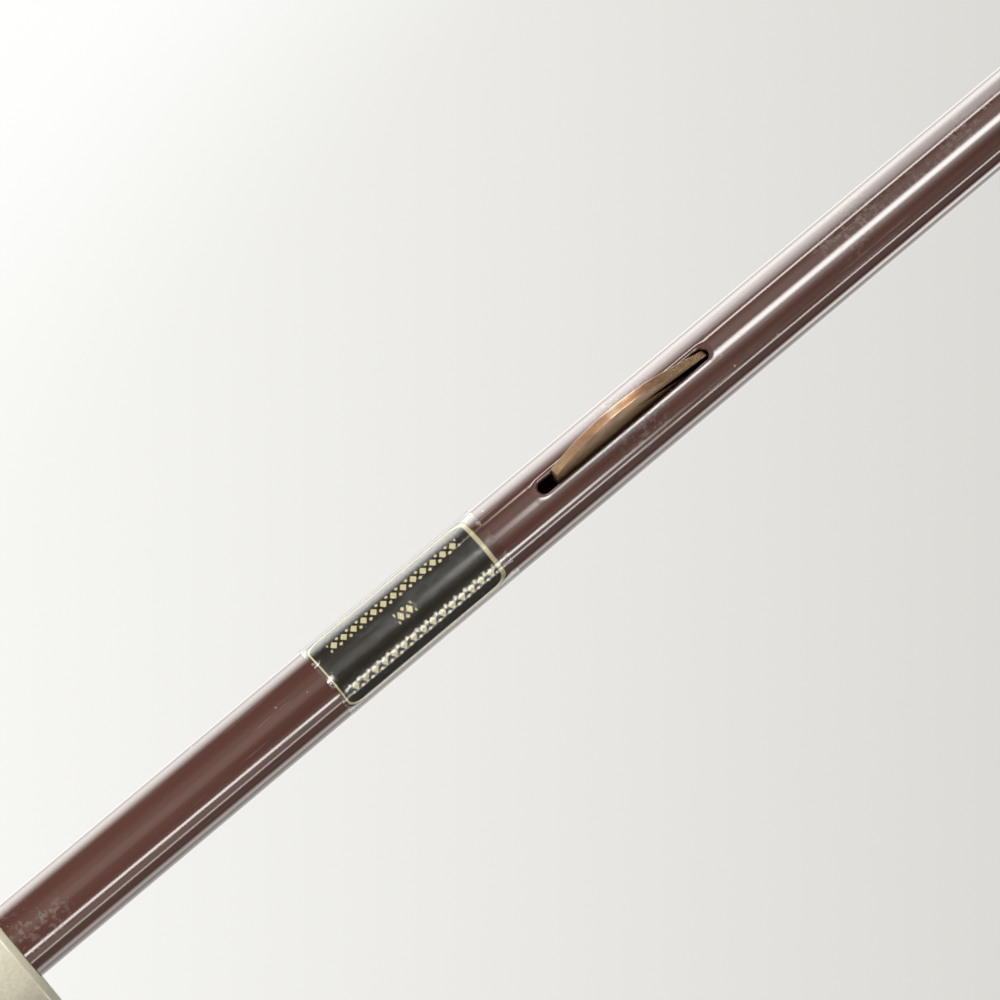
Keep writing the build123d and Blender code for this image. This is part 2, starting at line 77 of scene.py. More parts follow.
joints = {joint["name"]: joint for joint in frame["joints"]}
PIVOT_R = hypot(*joints["fold"]["pos_m"][:2])
NOTCH_Z = joints["fold"]["pos_m"][2]
TOP_SLOT_Z = joints["top_press"]["pos_m"][2] + CATCH_PIVOT
ARC_R = PIVOT_R - RIB_RADIUS * sin(RIB_DROOP)
ARC_Z = NOTCH_Z - RIB_RADIUS * cos(RIB_DROOP)

# The small dimple in the enamel above the hand slot: its turn from -Y towards +X, and its height.
DIMPLE_TURN, DIMPLE_Z = radians(12.6), 112.5 * MM


def turns(count):
    """Evenly spaced angles of one whole turn."""
    return [TURN * step / count for step in range(count)]


def placed(name, data):
    """Makes an object and puts it in the scene."""
    made = bpy.data.objects.new(name, data)
    bpy.context.scene.collection.objects.link(made)
    return made


# ---------------- materials
class Value:
    """An output of a material's node. Reckoning with it adds Math nodes."""

    def __init__(self, look, socket):
        self.look = look
        self.socket = socket

    def __add__(self, other):
        return self.look.calc("ADD", self, other)

    def __radd__(self, other):
        return self.look.calc("ADD", other, self)

    def __sub__(self, other):
        return self.look.calc("SUBTRACT", self, other)

    def __rsub__(self, other):
        return self.look.calc("SUBTRACT", other, self)

    def __mul__(self, other):
        return self.look.calc("MULTIPLY", self, other)

    def __abs__(self):
        return self.look.calc("ABSOLUTE", self)


class Look:
    """A node material for one of the record's slots. Its methods add nodes; lengths are in metres."""

    def __init__(self, name, slot, **inputs):
        self.slot = slot
        self.material = bpy.data.materials.new(name)
        self.material.use_nodes = True
        self.tree = self.material.node_tree
        self.shader = self.tree.nodes["Principled BSDF"]
        self.put(self.shader, inputs)

    def put(self, node, inputs):
        """Links or sets a node's inputs, which go by number or by name."""
        for key, value in inputs.items():
            socket = node.inputs[key] if isinstance(key, int) else node.inputs[key.replace("_", " ")]
            if isinstance(value, Value):
                self.tree.links.new(value.socket, socket)
            elif socket.type == "RGBA" and len(value) == 3:
                socket.default_value = (*value, 1)
            else:
                socket.default_value = value

    def set(self, **inputs):
        self.put(self.shader, inputs)

    def end(self, value, output="Material Output"):
        """Shows a mixed shader in place of the plain one."""
        self.tree.links.new(value.socket, self.tree.nodes[output].inputs[0])

    def outputs(self, kind, inputs=None, **settings):
        """Adds a node and returns its outputs, which go by number or by name."""
        node = self.tree.nodes.new("ShaderNode" + kind)
        for key, value in settings.items():
            setattr(node, key, value)
        self.put(node, inputs or {})
        return {key: Value(self, socket) for key, socket in [*enumerate(node.outputs), *node.outputs.items()]}

    def node(self, kind, inputs=None, output=0, **settings):
        return self.outputs(kind, inputs, **settings)[output]

    def place(self):
        return self.node("TexCoord", output="Object")

    def uv(self):
        return self.node("UVMap")

    def split(self, vector):
        made = self.outputs("SeparateXYZ", {0: vector})
        return made[0], made[1], made[2]

    def join(self, x, y, z=0):
        return self.node("CombineXYZ", {0: x, 1: y, 2: z})

    def calc(self, operation, a, b=0, c=0, clamp=False):
        return self.node("Math", {0: a, 1: b, 2: c}, operation=operation, use_clamp=clamp)

    def stretch(self, vector, factors):
        return self.node("VectorMath", {0: vector, 1: factors}, operation="MULTIPLY")

    def length(self, vector):
        return self.node("VectorMath", {0: vector}, output=1, operation="LENGTH")

    def noise(self, vector, scale, detail=3, roughness=0.5, distortion=0):
        inputs = dict(Vector=vector, Scale=scale, Detail=detail, Roughness=roughness, Distortion=distortion)
        return self.node("TexNoise", inputs)

    def ramp(self, value, low, high, at_low=0, at_high=1):
        """Rises smoothly from at_low to at_high while value goes from low to high."""
        inputs = {"Value": value, "From Min": low, "From Max": high, "To Min": at_low, "To Max": at_high}
        return self.node("MapRange", inputs, interpolation_type="SMOOTHSTEP")

    def mix(self, share, first, second):
        return self.node("Mix", {0: share, 6: first, 7: second}, data_type="RGBA", output=2)

    def blend(self, share, first, second):
        """Mixes two shaders."""
        return self.node("MixShader", {0: share, 1: first, 2: second})

    def bump(self, height, distance):
        return self.node("Bump", dict(Height=height, Distance=distance, Strength=1))

    def scratches(self, vector, across, along, rarity=0.62):
        """Thin lines, long in the third direction of the given vector."""
        thin = self.noise(self.stretch(vector, (across, across, along)), 1, 2, 0.6)
        patches = self.noise(vector, 90, 2)
        lines = self.ramp(thin, rarity, rarity + 0.05)
        return lines * self.ramp(patches, 0.45, 0.6)


def enamel():
    """Glossy stoved enamel: drifting tone, dust, fine scratches along the shaft and one small dimple."""
    look = Look("brown_enamel", "shaft_enamel", Roughness=0.3, Specular_IOR_Level=0)
    look.set(Coat_Weight=1, Coat_IOR=1.5)
    place = look.place()
    tone = look.noise(look.stretch(place, (1, 1, 0.12)), 160)
    marks = look.scratches(place, 1900, 38)
    dust = look.ramp(look.node("TexVoronoi", dict(Vector=place, Scale=420)), 0.1, 0.05)
    rare = look.ramp(look.noise(place, 75, 2), 0.56, 0.62)
    specks = dust * rare
    x, y, height = look.split(place)
    aside = (look.calc("ARCTAN2", x, y * -1) - DIMPLE_TURN) * SHAFT_R
    dimple = look.ramp(look.length(look.join(aside, height - DIMPLE_Z)), 0.42 * MM, 0.12 * MM)
    worn = look.ramp(look.noise(look.stretch(place, (1, 1, 0.5)), 70, 2), 0.55, 0.64)
    scuffs = worn * look.ramp(look.noise(place, 1500, 3, 0.6), 0.5, 0.62)
    color = look.mix(look.ramp(tone, 0.35, 0.65), (0.096, 0.0405, 0.0305), (0.122, 0.053, 0.0405))
    color = look.mix(scuffs * 0.3, color, (0.3, 0.26, 0.24))
    color = look.mix(marks * 0.25, color, (0.32, 0.24, 0.2))
    color = look.mix(specks * 0.7, color, (0.6, 0.54, 0.48))
    # The dimple's hollow is painted nearly black: painted shade.
    color = look.mix(dimple * 0.9, color, (0.012, 0.006, 0.005))
    peel = look.noise(look.stretch(place, (1, 1, 0.3)), 600, 2)
    relief = peel * 0.35 + specks - dimple
    bump = look.bump(relief, 0.0007 * MM)
    smear = look.noise(look.stretch(place, (1, 1, 0.2)), 300)
    gloss = look.ramp(smear, 0.3, 0.75, 0.045, 0.075) + marks * 0.15 + scuffs * 0.1
    look.set(Base_Color=color, Normal=bump, Coat_Normal=bump, Coat_Roughness=gloss)
    return look


def label_print():
    """Black print with a gold border, thick and beaded at its upper end, three rows of plain ornament and a
    painted sheen.
    """
    look = Look("label_print", "label_print", Specular_IOR_Level=0)
    across, along = look.split(look.uv())[0:2]
    half_width, half_length = SHAFT_R * (LABEL_TO - LABEL_FROM) / 2, LABEL_LENGTH / 2
    corner, edge = 1.5 * MM, 0.035 * MM

    def beyond(side_inset, low_inset, high_inset):
        """How far a place lies outside the label's outline, drawn smaller by an inset at each edge."""
        middle = (low_inset - high_inset) / 2
        half = half_length - (low_inset + high_inset) / 2
        side = abs(across) - (half_width - side_inset - corner)
        end = abs(along - middle) - (half - corner)
        side, end = look.calc("MAXIMUM", side, 0), look.calc("MAXIMUM", end, 0)
        far = look.calc("SQRT", look.calc("POWER", side, 2) + look.calc("POWER", end, 2))
        return far - corner

    outer, inner = beyond(0.1 * MM, 0.1 * MM, 0.1 * MM), beyond(0.42 * MM, 0.32 * MM, 0.68 * MM)
    beads = look.ramp(look.calc("SINE", across * (TURN / (0.42 * MM))), -1, 0.2, 0.55, 1)
    at_top = look.ramp(along, half_length - MM, half_length - 0.8 * MM)
    border = look.ramp(outer, edge, -edge) * look.ramp(inner, -edge, edge)
    gold = border * look.mix(at_top, (1, 1, 1), beads)

    def ornament(row, middle, half_height, pitch, count):
        """A row of filled lozenges, each with a dot on either side, centred on a place of the label."""
        offset = along - middle
        step = look.calc("PINGPONG", offset + (count % 2) * pitch / 2, pitch / 2)
        aside = abs(across - row)
        slope = step * (2.5 * half_height / pitch)
        body = look.ramp(aside - (slope - 0.42 * half_height), edge, -edge)
        toward_dot = aside - 0.72 * half_height
        dot = look.length(look.join(toward_dot, step))
        dot_r = 0.3 * half_height
        marks = look.calc("MAXIMUM", body, look.ramp(dot, dot_r + edge, dot_r - edge))
        reach = count * pitch / 2
        inside = look.ramp(abs(offset), reach + edge, reach - edge)
        return marks * inside

    rows = (  # across, along, half height, pitch and number of lozenges
        (-2.75 * MM, 0.05 * MM, 0.72 * MM, 1.58 * MM, 13),
        (-0.05 * MM, -0.25 * MM, 0.78 * MM, 1.4 * MM, 2),
        (3 * MM, 0.25 * MM, 0.76 * MM, 1.54 * MM, 15),
    )
    for row in rows:
        gold = look.calc("MAXIMUM", gold, ornament(*row))
    gold = gold * look.ramp(look.noise(look.uv(), 1100, 4), 0.28, 0.42, 0.55, 1)
    # A mottled blue-grey sheen is painted into the black along a band just left of the middle: a painted
    # reflection.
    sheen_mottle = look.noise(look.stretch(look.uv(), (1, 0.45, 1)), 480, 5, 0.65)
    from_sheen = abs(across + 0.9 * MM)
    painted_sheen = look.ramp(sheen_mottle, 0.38, 0.68) * look.ramp(from_sheen, 2.3 * MM, 0.3 * MM)
    black = look.mix(painted_sheen, (0.034, 0.029, 0.022), (0.066, 0.07, 0.072))
    look.set(Base_Color=look.mix(gold, black, (0.67, 0.6, 0.36)))
    look.set(Metallic=gold * 0.15, Roughness=look.ramp(gold, 0, 1, 0.5, 0.45))
    crinkle = look.noise(look.stretch(look.uv(), (1, 0.5, 1)), 700, 4, 0.6)
    look.set(Normal=look.bump(crinkle + gold * 0.3, 0.02 * MM))
    return look


def clear_film():
    """Clear tape: see-through with a glossy skin, with glints painted white where its ends lift."""
    look = Look("clear_film", "label_print")
    uv = look.uv()
    along = look.split(uv)[1]
    near_end = look.ramp(abs(along), FILM_LENGTH / 2 - 1.3 * MM, FILM_LENGTH / 2 - 0.1 * MM)
    crinkle = look.noise(look.stretch(uv, (1, 0.5, 1)), 1100, 4, 0.6)
    lifted = near_end * look.ramp(crinkle, 0.55, 0.63)
    wave = look.noise(look.stretch(uv, (0.6, 1, 1)), 300)
    normal = look.bump(wave + lifted * 3.5, 0.012 * MM)
    gloss = look.node("BsdfGlossy", {"Roughness": 0.1, "Normal": normal})
    # White diffuse patches where the tape's ends lift: painted glints.
    painted_glint = look.node("BsdfDiffuse", {0: (0.8, 0.77, 0.74)})
    facing = 1 - look.node("NewGeometry", output="Backfacing")
    grazing = look.node("Fresnel", {"IOR": 1.58}) * facing
    clear = look.node("BsdfTransparent", {0: look.mix(grazing, (0.98, 0.975, 0.965), (0.28, 0.275, 0.27))})
    skin = look.blend(look.calc("MINIMUM", grazing, 0.12), clear, gloss)
    look.end(look.blend(lifted * 0.12, skin, painted_glint))
    return look


def metal(name, slot, bright, dull, rough):
    """Drawn metal: grain along the piece, tarnish in patches, and scratches."""
    look = Look(name, slot, Metallic=1)
    place = look.place()
    streak = look.noise(look.stretch(place, (600, 600, 12)), 1, 4, 0.6)
    patch = look.noise(place, 130, 4, 0.6)
    marks = look.scratches(place, 1500, 90, 0.6)
    color = look.mix(look.ramp(patch, 0.42, 0.68) * 0.5, bright, dull)
    color = look.mix(look.ramp(streak, 0.35, 0.7, 0, 0.35), color, dull)
    color = look.mix(marks * 0.6, color, [min(1, part * 1.35) for part in bright])
    rough_here = look.ramp(patch, 0.3, 0.7, rough * 0.8, rough * 1.35) + marks * -0.08
    look.set(Base_Color=color, Roughness=rough_here, Normal=look.bump(streak * 0.4 - marks * 0.8, 0.02 * MM))
    return look


def champagne():
    """Pale cast metal under a dull lacquer, with a fine speckle, rubbed spots, painted shade on the bevel and
    a highlight painted along the rim.
    """
    look = Look("champagne_metal", "champagne", Specular_IOR_Level=0.22, Roughness=0.5)
    place = look.place()
    x, y, z = look.split(place)
    from_axis = look.calc("SQRT", look.calc("POWER", x, 2) + look.calc("POWER", y, 2))
    patch = look.noise(place, 120, 4, 0.6)
    grain = look.noise(place, 2300)
    spots = look.ramp(look.noise(place, 900, 3, 0.6), 0.6, 0.68)
    rubbed = spots * look.ramp(look.noise(place, 190, 2), 0.5, 0.62)
    color = look.mix(look.ramp(patch, 0.35, 0.7), (0.7, 0.655, 0.515), (0.6, 0.56, 0.42))
    color = look.mix(look.ramp(grain, 0.35, 0.7, 0, 0.22), color, (0.36, 0.33, 0.23))
    color = look.mix(rubbed * 0.7, color, (0.93, 0.9, 0.78))
    # The bevel above the body is painted darker: painted shade.
    above = look.ramp(z, -1.05 * MM, -0.65 * MM)
    color = look.mix(above * look.ramp(z, 3 * MM, MM, 0, 0.35), color, (0.36, 0.345, 0.235))
    # A thin pale line round the edge under the bevel, broken up by noise: a painted highlight.
    off_edge = abs(z + MM)
    worn = look.ramp(off_edge, 0.16 * MM, 0.05 * MM) * look.ramp(from_axis, 9.9 * MM, 10 * MM)
    worn = worn * look.ramp(look.noise(place, 110, 2), 0.47, 0.56, 0.1, 1)
    look.set(Base_Color=look.mix(worn, color, (0.97, 0.95, 0.86)))
    relief = grain * 0.5 - rubbed
    look.set(Normal=look.bump(relief, 0.02 * MM))
    return look


def catch_metal():
    """Copper-bronze strip: bright along its drawn edge, with a painted highlight at the peak; brown, dull and
    scratched on its sheared sides.
    """
    look = Look("catch_bronze", "catch_bronze")
    place = look.place()
    flank = abs(look.split(look.node("NewGeometry", output="Normal"))[0])
    on_side = look.ramp(flank, 0.55, 0.92)
    out = look.split(place)[1] * -1
    patch = look.noise(place, 420, 4, 0.6)
    grain = look.noise(look.stretch(place, (1, 1, 0.12)), 2600, 3, 0.6)
    marks = look.scratches(place, 2200, 150, 0.58)
    edge = look.mix(look.ramp(out, 8.3 * MM, 6 * MM), (0.46, 0.26, 0.15), (0.67, 0.455, 0.245))
    # A pale spot painted on the edge at the peak: a painted highlight.
    edge = look.mix(look.ramp(out, 9.05 * MM, 9.14 * MM), edge, (0.7, 0.56, 0.42))
    # The sides darken down towards the slot: painted shade in the slot, together with dirt.
    side = look.mix(look.ramp(out, 5.2 * MM, 8.4 * MM), (0.27, 0.165, 0.09), (0.36, 0.235, 0.135))
    color = look.mix(on_side, edge, side)
    color = look.mix(look.ramp(patch, 0.45, 0.72, 0, 0.55), color, (0.17, 0.1, 0.055))
    color = look.mix(marks * 0.6, color, (0.78, 0.62, 0.45))
    relief = grain * 0.6 - marks
    look.set(Base_Color=color, Normal=look.bump(relief, 0.012 * MM))
    look.set(Metallic=look.ramp(on_side, 0, 1, 0.7, 0.12))
    look.set(Roughness=look.ramp(on_side, 0, 1, 0.27, 0.5) + look.ramp(patch, 0.4, 0.7, 0, 0.12))
    return look


def moulded(name, slot, dark, light, rough):
    """Moulded or dipped plastic with a fine spark-eroded texture and dusty patches."""
    look = Look(name, slot)
    place = look.place()
    fine = look.noise(place, 3200)
    patch = look.noise(place, 110, 4)
    look.set(Base_Color=look.mix(look.ramp(patch, 0.35, 0.7), dark, light))
    look.set(Roughness=look.ramp(patch, 0.3, 0.7, rough, rough + 0.15), Normal=look.bump(fine, 0.025 * MM))
    return look


def frame_paint():
    """Satin paint on sheet steel, rubbed to metal in small chips."""
    look = Look("frame_paint", "frame_paint", Coat_Weight=0.25, Coat_Roughness=0.25)
    place = look.place()
    patch = look.noise(place, 60, 4)
    chips = look.ramp(look.noise(place, 700, 3, 0.6), 0.66, 0.7)
    color = look.mix(look.ramp(patch, 0.35, 0.7), (0.035, 0.015, 0.012), (0.06, 0.027, 0.02))
    look.set(Base_Color=look.mix(chips, color, (0.42, 0.38, 0.34)), Metallic=chips * 0.9)
    look.set(Roughness=look.ramp(patch, 0.3, 0.7, 0.3, 0.46))
    height = look.noise(place, 1300, 2) * 0.4 - chips
    look.set(Normal=look.bump(height, 0.02 * MM))
    return look


def polished_wood():
    """Steamed and polished hardwood; the grain follows the crook through the piece's own coordinates."""
    look = Look("polished_wood", "handle_wood", Coat_Weight=0.75)
    uv = look.uv()
    wander = look.noise(look.stretch(uv, (1, 0.25, 1)), 60)
    drifted = look.node("VectorMath", {0: uv, 1: look.join(wander * 0.012, 0)}, operation="ADD")
    streaks = look.noise(look.stretch(drifted, (1, 0.045, 1)), 420, 5, 0.65)
    pore = look.ramp(look.noise(look.stretch(uv, (1, 0.05, 1)), 2400, 2), 0.63, 0.7)
    figure = look.noise(look.stretch(uv, (0.4, 1, 1)), 55, 3, 0.5, 1.2)
    color = look.mix(look.ramp(streaks, 0.32, 0.68), (0.075, 0.026, 0.01), (0.27, 0.115, 0.042))
    color = look.mix(look.ramp(figure, 0.45, 0.7, 0, 0.45), color, (0.34, 0.16, 0.062))
    color = look.mix(pore * 0.75, color, (0.028, 0.011, 0.006))
    look.set(Base_Color=color, Roughness=look.ramp(streaks, 0.3, 0.7, 0.42, 0.3))
    look.set(Normal=look.bump(streaks * 0.3 - pore, 0.03 * MM))
    rub = look.noise(uv, 45, 4)
    look.set(Coat_Roughness=look.ramp(rub, 0.35, 0.75, 0.04, 0.16))
    return look


def cloth(name, slot, dark, light, pitch, stitch_row=None, through=0.12):
    """Plain weave in the piece's own coordinates, with slubs, soft ripples and stitches on each side."""
    look = Look(name, slot, Roughness=0.72)
    look.set(Sheen_Weight=0.35, Sheen_Roughness=0.4, Sheen_Tint=(0.75, 0.55, 0.45))
    uv = look.uv()
    across, along = look.split(uv)[0:2]
    warp = look.calc("SINE", across * (TURN / pitch))
    weft = look.calc("SINE", along * (TURN / pitch))
    weave = warp * weft
    slub = look.noise(look.stretch(uv, (1, 0.06, 1)), 900)
    drift = look.noise(uv, 9, 4, 0.55)
    tone = weave * 0.16 + look.ramp(slub, 0.3, 0.7, -0.25, 0.25)
    tone = look.calc("ADD", tone, look.ramp(drift, 0.3, 0.7, 0.25, 0.75), clamp=True)
    color = look.mix(tone, dark, light)
    height = (weave * 0.5 + slub * 0.4) * (0.1 * MM)
    ripple = look.noise(look.stretch(uv, (1, 0.22, 1)), 34, 3, 0.45)
    height = height + ripple * (1.6 * MM)
    if stitch_row:
        stitch_pitch = 2.6 * MM
        off = abs(abs(across) - stitch_row)
        dash = look.calc("PINGPONG", along, stitch_pitch / 2)
        stitch = look.ramp(dash, 0.1 * stitch_pitch, 0.18 * stitch_pitch)
        thread = look.ramp(off, 0.34 * MM, 0.16 * MM) * stitch
        color = look.mix(thread * 0.8, color, [1.7 * part for part in light])
        pull = look.ramp(off, 1.2 * MM, 0.2 * MM, 0, -0.18 * MM)
        height = height + (thread * (0.22 * MM) + pull)
    look.set(Base_Color=color, Normal=look.bump(height, 1))
    lit = look.node("BsdfTranslucent", dict(Color=color))
    look.end(look.blend(through, Value(look, look.shader.outputs[0]), lit))
    return look


ENAMEL = enamel()
LABEL = label_print()
FILM = clear_film()
BRONZE = catch_metal()
CHAMPAGNE = champagne()
STEEL = metal("bright_steel", "pin_steel", (0.62, 0.61, 0.59), (0.3, 0.28, 0.26), 0.28)
BRASS = metal("rivet_brass", "rivet_brass", (0.72, 0.52, 0.25), (0.35, 0.23, 0.1), 0.26)
FRAME_PAINT = frame_paint()
NOTCH = moulded("notch_plastic", "notch_plastic", (0.03, 0.014, 0.011), (0.05, 0.026, 0.02), 0.42)
TIP = moulded("tip_plastic", "tip_black", (0.022, 0.018, 0.017), (0.045, 0.038, 0.035), 0.45)
WOOD = polished_wood()
WEAVE = 0.45 * MM
CANOPY = cloth("canopy_cloth", "canopy_cloth", (0.04, 0.0165, 0.0125), (0.078, 0.034, 0.025), WEAVE)
SEAM = cloth("seam_cloth", "canopy_cloth", (0.034, 0.014, 0.011), (0.066, 0.029, 0.022), WEAVE, 2.6 * MM)
STRAP = cloth("strap_cloth", "strap_cloth", (0.036, 0.015, 0.012), (0.07, 0.031, 0.023), 0.6 * MM, 7.6 * MM)
ROSETTE = cloth("rosette_cloth", "washer_cloth", (0.038, 0.016, 0.012), (0.074, 0.033, 0.024), 0.5 * MM)
THREAD = cloth("thread", "canopy_cloth", (0.05, 0.022, 0.017), (0.1, 0.048, 0.036), 0.3 * MM, through=0)


# ---------------- mesh tools
def piece(name, vertices, faces, corners, body, look, sharp=40):
    """Makes one object of the umbrella; corners gives each face's uv at its vertices, in metres."""
    mesh = bpy.data.meshes.new(name)
    mesh.from_pydata([tuple(vertex) for vertex in vertices], [], faces)
    layer = mesh.uv_layers.new(name="uv")
    layer.data.foreach_set("uv", [part for face in corners for corner in face for part in corner])
    mesh.validate()
    mesh.shade_smooth()
    mesh.set_sharp_from_angle(angle=radians(sharp))
    mesh.materials.append(look.material)
    made = placed(name, mesh)
    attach(made, body)
    return made


def running(points):
    """The running length at each point of a line of points."""
    return np.concatenate(([0.0], np.cumsum(np.linalg.norm(np.diff(points, axis=0), axis=1))))


def centred(lengths):
    return lengths - lengths[-1] / 2


def grid_faces(rows, columns, closed_rows, closed_columns, across, along):
    """Quads of a grid of points, and their uv corners from the values across a row and along the rows."""
    faces, corners = [], []
    for i in range(rows if closed_rows else rows - 1):
        for j in range(columns if closed_columns else columns - 1):
            steps = ((i, j), (i, j + 1), (i + 1, j + 1), (i + 1, j))
            faces.append([(a % rows) * columns + b % columns for a, b in steps])
            corners.append([(across[b], along[a]) for a, b in steps])
    return faces, corners


def tube(name, rings, body, look, closed=False, sharp=40, turned=False):
    """A skin over rings of points. Open ends are capped with a fan."""
    rings = np.array(rings, float)
    if turned:
        rings = rings[:, ::-1]
    rows, columns = rings.shape[:2]
    middle = rings.mean(axis=1)
    ring = np.vstack((rings[rows // 2], rings[rows // 2][:1]))
    along = centred(running(np.vstack((middle, middle[:1])) if closed else middle))
    faces, corners = grid_faces(rows, columns, closed, True, centred(running(ring)), along)
    vertices = list(rings.reshape(-1, 3))
    if not closed:
        for row, order in ((0, -1), (rows - 1, 1)):
            vertices.append(middle[row])
            for j in range(columns):
                fan = [row * columns + j, row * columns + (j + 1) % columns, len(vertices) - 1]
                faces.append(fan[::order])
                corners.append([(0.0, along[row])] * 3)
    return piece(name, vertices, faces, corners, body, look, sharp)


def shell(name, outer, inner, body, look, across, along, sharp=40):
    """A sheet with two faces and a rim; outer and inner are grids of points of one shape."""
    outer, inner = np.array(outer), np.array(inner)
    rows, columns = outer.shape[:2]
    faces, corners = grid_faces(rows, columns, False, False, across, along)
    count = rows * columns
    back = [[index + count for index in face[::-1]] for face in faces]
    back_corners = [corner[::-1] for corner in corners]
    ring = [(0, j) for j in range(columns)] + [(i, columns - 1) for i in range(1, rows)]
    ring += [(rows - 1, j) for j in range(columns - 2, -1, -1)] + [(i, 0) for i in range(rows - 2, 0, -1)]
    rim, rim_corners = [], []
    for (a, b), (c, d) in zip(ring, ring[1:] + ring[:1]):
        first, second = a * columns + b, c * columns + d
        rim.append([second, first, first + count, second + count])
        here, there = (across[b], along[a]), (across[d], along[c])
        rim_corners.append([there, here, here, there])
    vertices = np.vstack((outer.reshape(-1, 3), inner.reshape(-1, 3)))
    faces += back + rim
    corners += back_corners + rim_corners
    return piece(name, vertices, faces, corners, body, look, sharp)


def grid_normals(grid):
    """Unit normals of a grid of points."""
    normal = np.cross(np.gradient(grid, axis=1), np.gradient(grid, axis=0))
    return normal / np.linalg.norm(normal, axis=2, keepdims=True)


def rounded(points, steps=4):
    """A closed outline with its corners rounded; each point is (x, y, radius)."""
    made = []
    for index, (x, y, radius) in enumerate(points):
        here = Vector((x, y))
        before = Vector(points[index - 1][:2]) - here
        after = Vector(points[(index + 1) % len(points)][:2]) - here
        if radius == 0:
            made.append((x, y))
            continue
        corner = before.angle(after)
        reach = min(radius / tan(corner / 2), before.length * 0.49, after.length * 0.49)
        start, end = here + before.normalized() * reach, here + after.normalized() * reach
        for step in range(steps + 1):
            share = step / steps
            bend = start.lerp(here, share).lerp(here.lerp(end, share), share)
            made.append(tuple(bend))
    return made

def wire(name, path, radius, body, look, closed=False):
    """A round wire along a path of points."""
    path = [Vector(point) for point in path]
    count = len(path)
    rings = []
    across = None
    for index, point in enumerate(path):
        before = path[index - 1] if closed or index else point
        after = path[(index + 1) % count] if closed or index < count - 1 else point
        run = (after - before).normalized()
        if across is None:
            across = run.orthogonal().normalized()
        across = (across - run * across.dot(run)).normalized()
        up = run.cross(across)
        rings.append([point + (across * cos(a) + up * sin(a)) * radius for a in turns(8)])
    return tube(name, rings, body, look, closed=closed)


def rib_point(along, outward=0):
    """A place of the rib's plane beside its centre line, as radius and height."""
    turning = RIB_DROOP + along / RIB_RADIUS
    reach = RIB_RADIUS + outward
    return ARC_R + reach * sin(turning), ARC_Z + reach * cos(turning)


def rib_azimuth(number):
    return GORE * (number - 0.5)


def around_shaft(radius, azimuth, height):
    return np.array((radius * cos(azimuth), radius * sin(azimuth), height))


def rib_frame(number, along):
    """A place on a rib's centre line, and the directions across the rib, away from it and along it."""
    azimuth = rib_azimuth(number)
    turning = RIB_DROOP + along / RIB_RADIUS
    radius, height = rib_point(along)
    middle = Vector(around_shaft(radius, azimuth, height))
    across = Vector((-sin(azimuth), cos(azimuth), 0))
    outward = Vector(around_shaft(sin(turning), azimuth, cos(turning)))
    return middle, across, outward, across.cross(outward)


# ---------------- shaft, label and film
def skin_point(radius, angle, height):
    """A place round the shaft, its angle counted from -Y towards +X."""
    return radius * sin(angle), -radius * cos(angle), height


def wrap(name, gap, thickness, start, stop, low, length, corner, look, lift=None):
    """A thin sheet wrapped round the shaft with rounded corners; lift raises it at a given place."""
    steps = 72
    radius = SHAFT_R + gap
    half_arc, half_length = radius * (stop - start) / 2, length / 2
    across = np.linspace(-half_arc, half_arc, steps)
    along = np.linspace(-half_length, half_length, steps)
    outer, inner = [], []
    for y in along:
        top_row, low_row = [], []
        for x in across:
            over = max(0, abs(x) - (half_arc - corner))
            end = half_length - corner + sqrt(max(0, corner**2 - over**2))
            angle = (start + stop) / 2 + x / radius
            height = low + half_length + y / half_length * end
            raised = lift(x, y) if lift else 0
            top_row.append(skin_point(radius + thickness + raised, angle, height))
            low_row.append(skin_point(radius + raised, angle, height))
        outer.append(top_row)
        inner.append(low_row)
    return shell(name, outer, inner, "stick", look, across, along)


label = wrap("label", 0.02 * MM, 0.08 * MM, LABEL_FROM, LABEL_TO, LABEL_Z, LABEL_LENGTH, 1.3 * MM, LABEL)
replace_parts(label, "shaft_label")


def film_lift(across, along):
    """The tape's ends stand off the shaft in small tunnels."""
    end = max(0, (abs(along) - (FILM_LENGTH / 2 - MM)) / MM)
    return 0.09 * MM * end * (0.5 + 0.5 * sin(across / (0.55 * MM) + 2 * sin(across / (1.7 * MM))))


wrap("clear_film", 0.125 * MM, 0.03 * MM, FILM_FROM, FILM_TO, FILM_Z, FILM_LENGTH, 0.2 * MM, FILM, film_lift)


# The mouth of each slot, narrower than the cut in the tube: the enamel's lip is thicker on one side.
MOUTH_HALF, MOUTH_ASIDE = 0.9 * MM, 0.2 * MM
OPENING_HALF = 1.95 * MM  # of the skin round a mouth; the lip fills what is between
LIP_STEPS = 24  # along each end and each side of a mouth


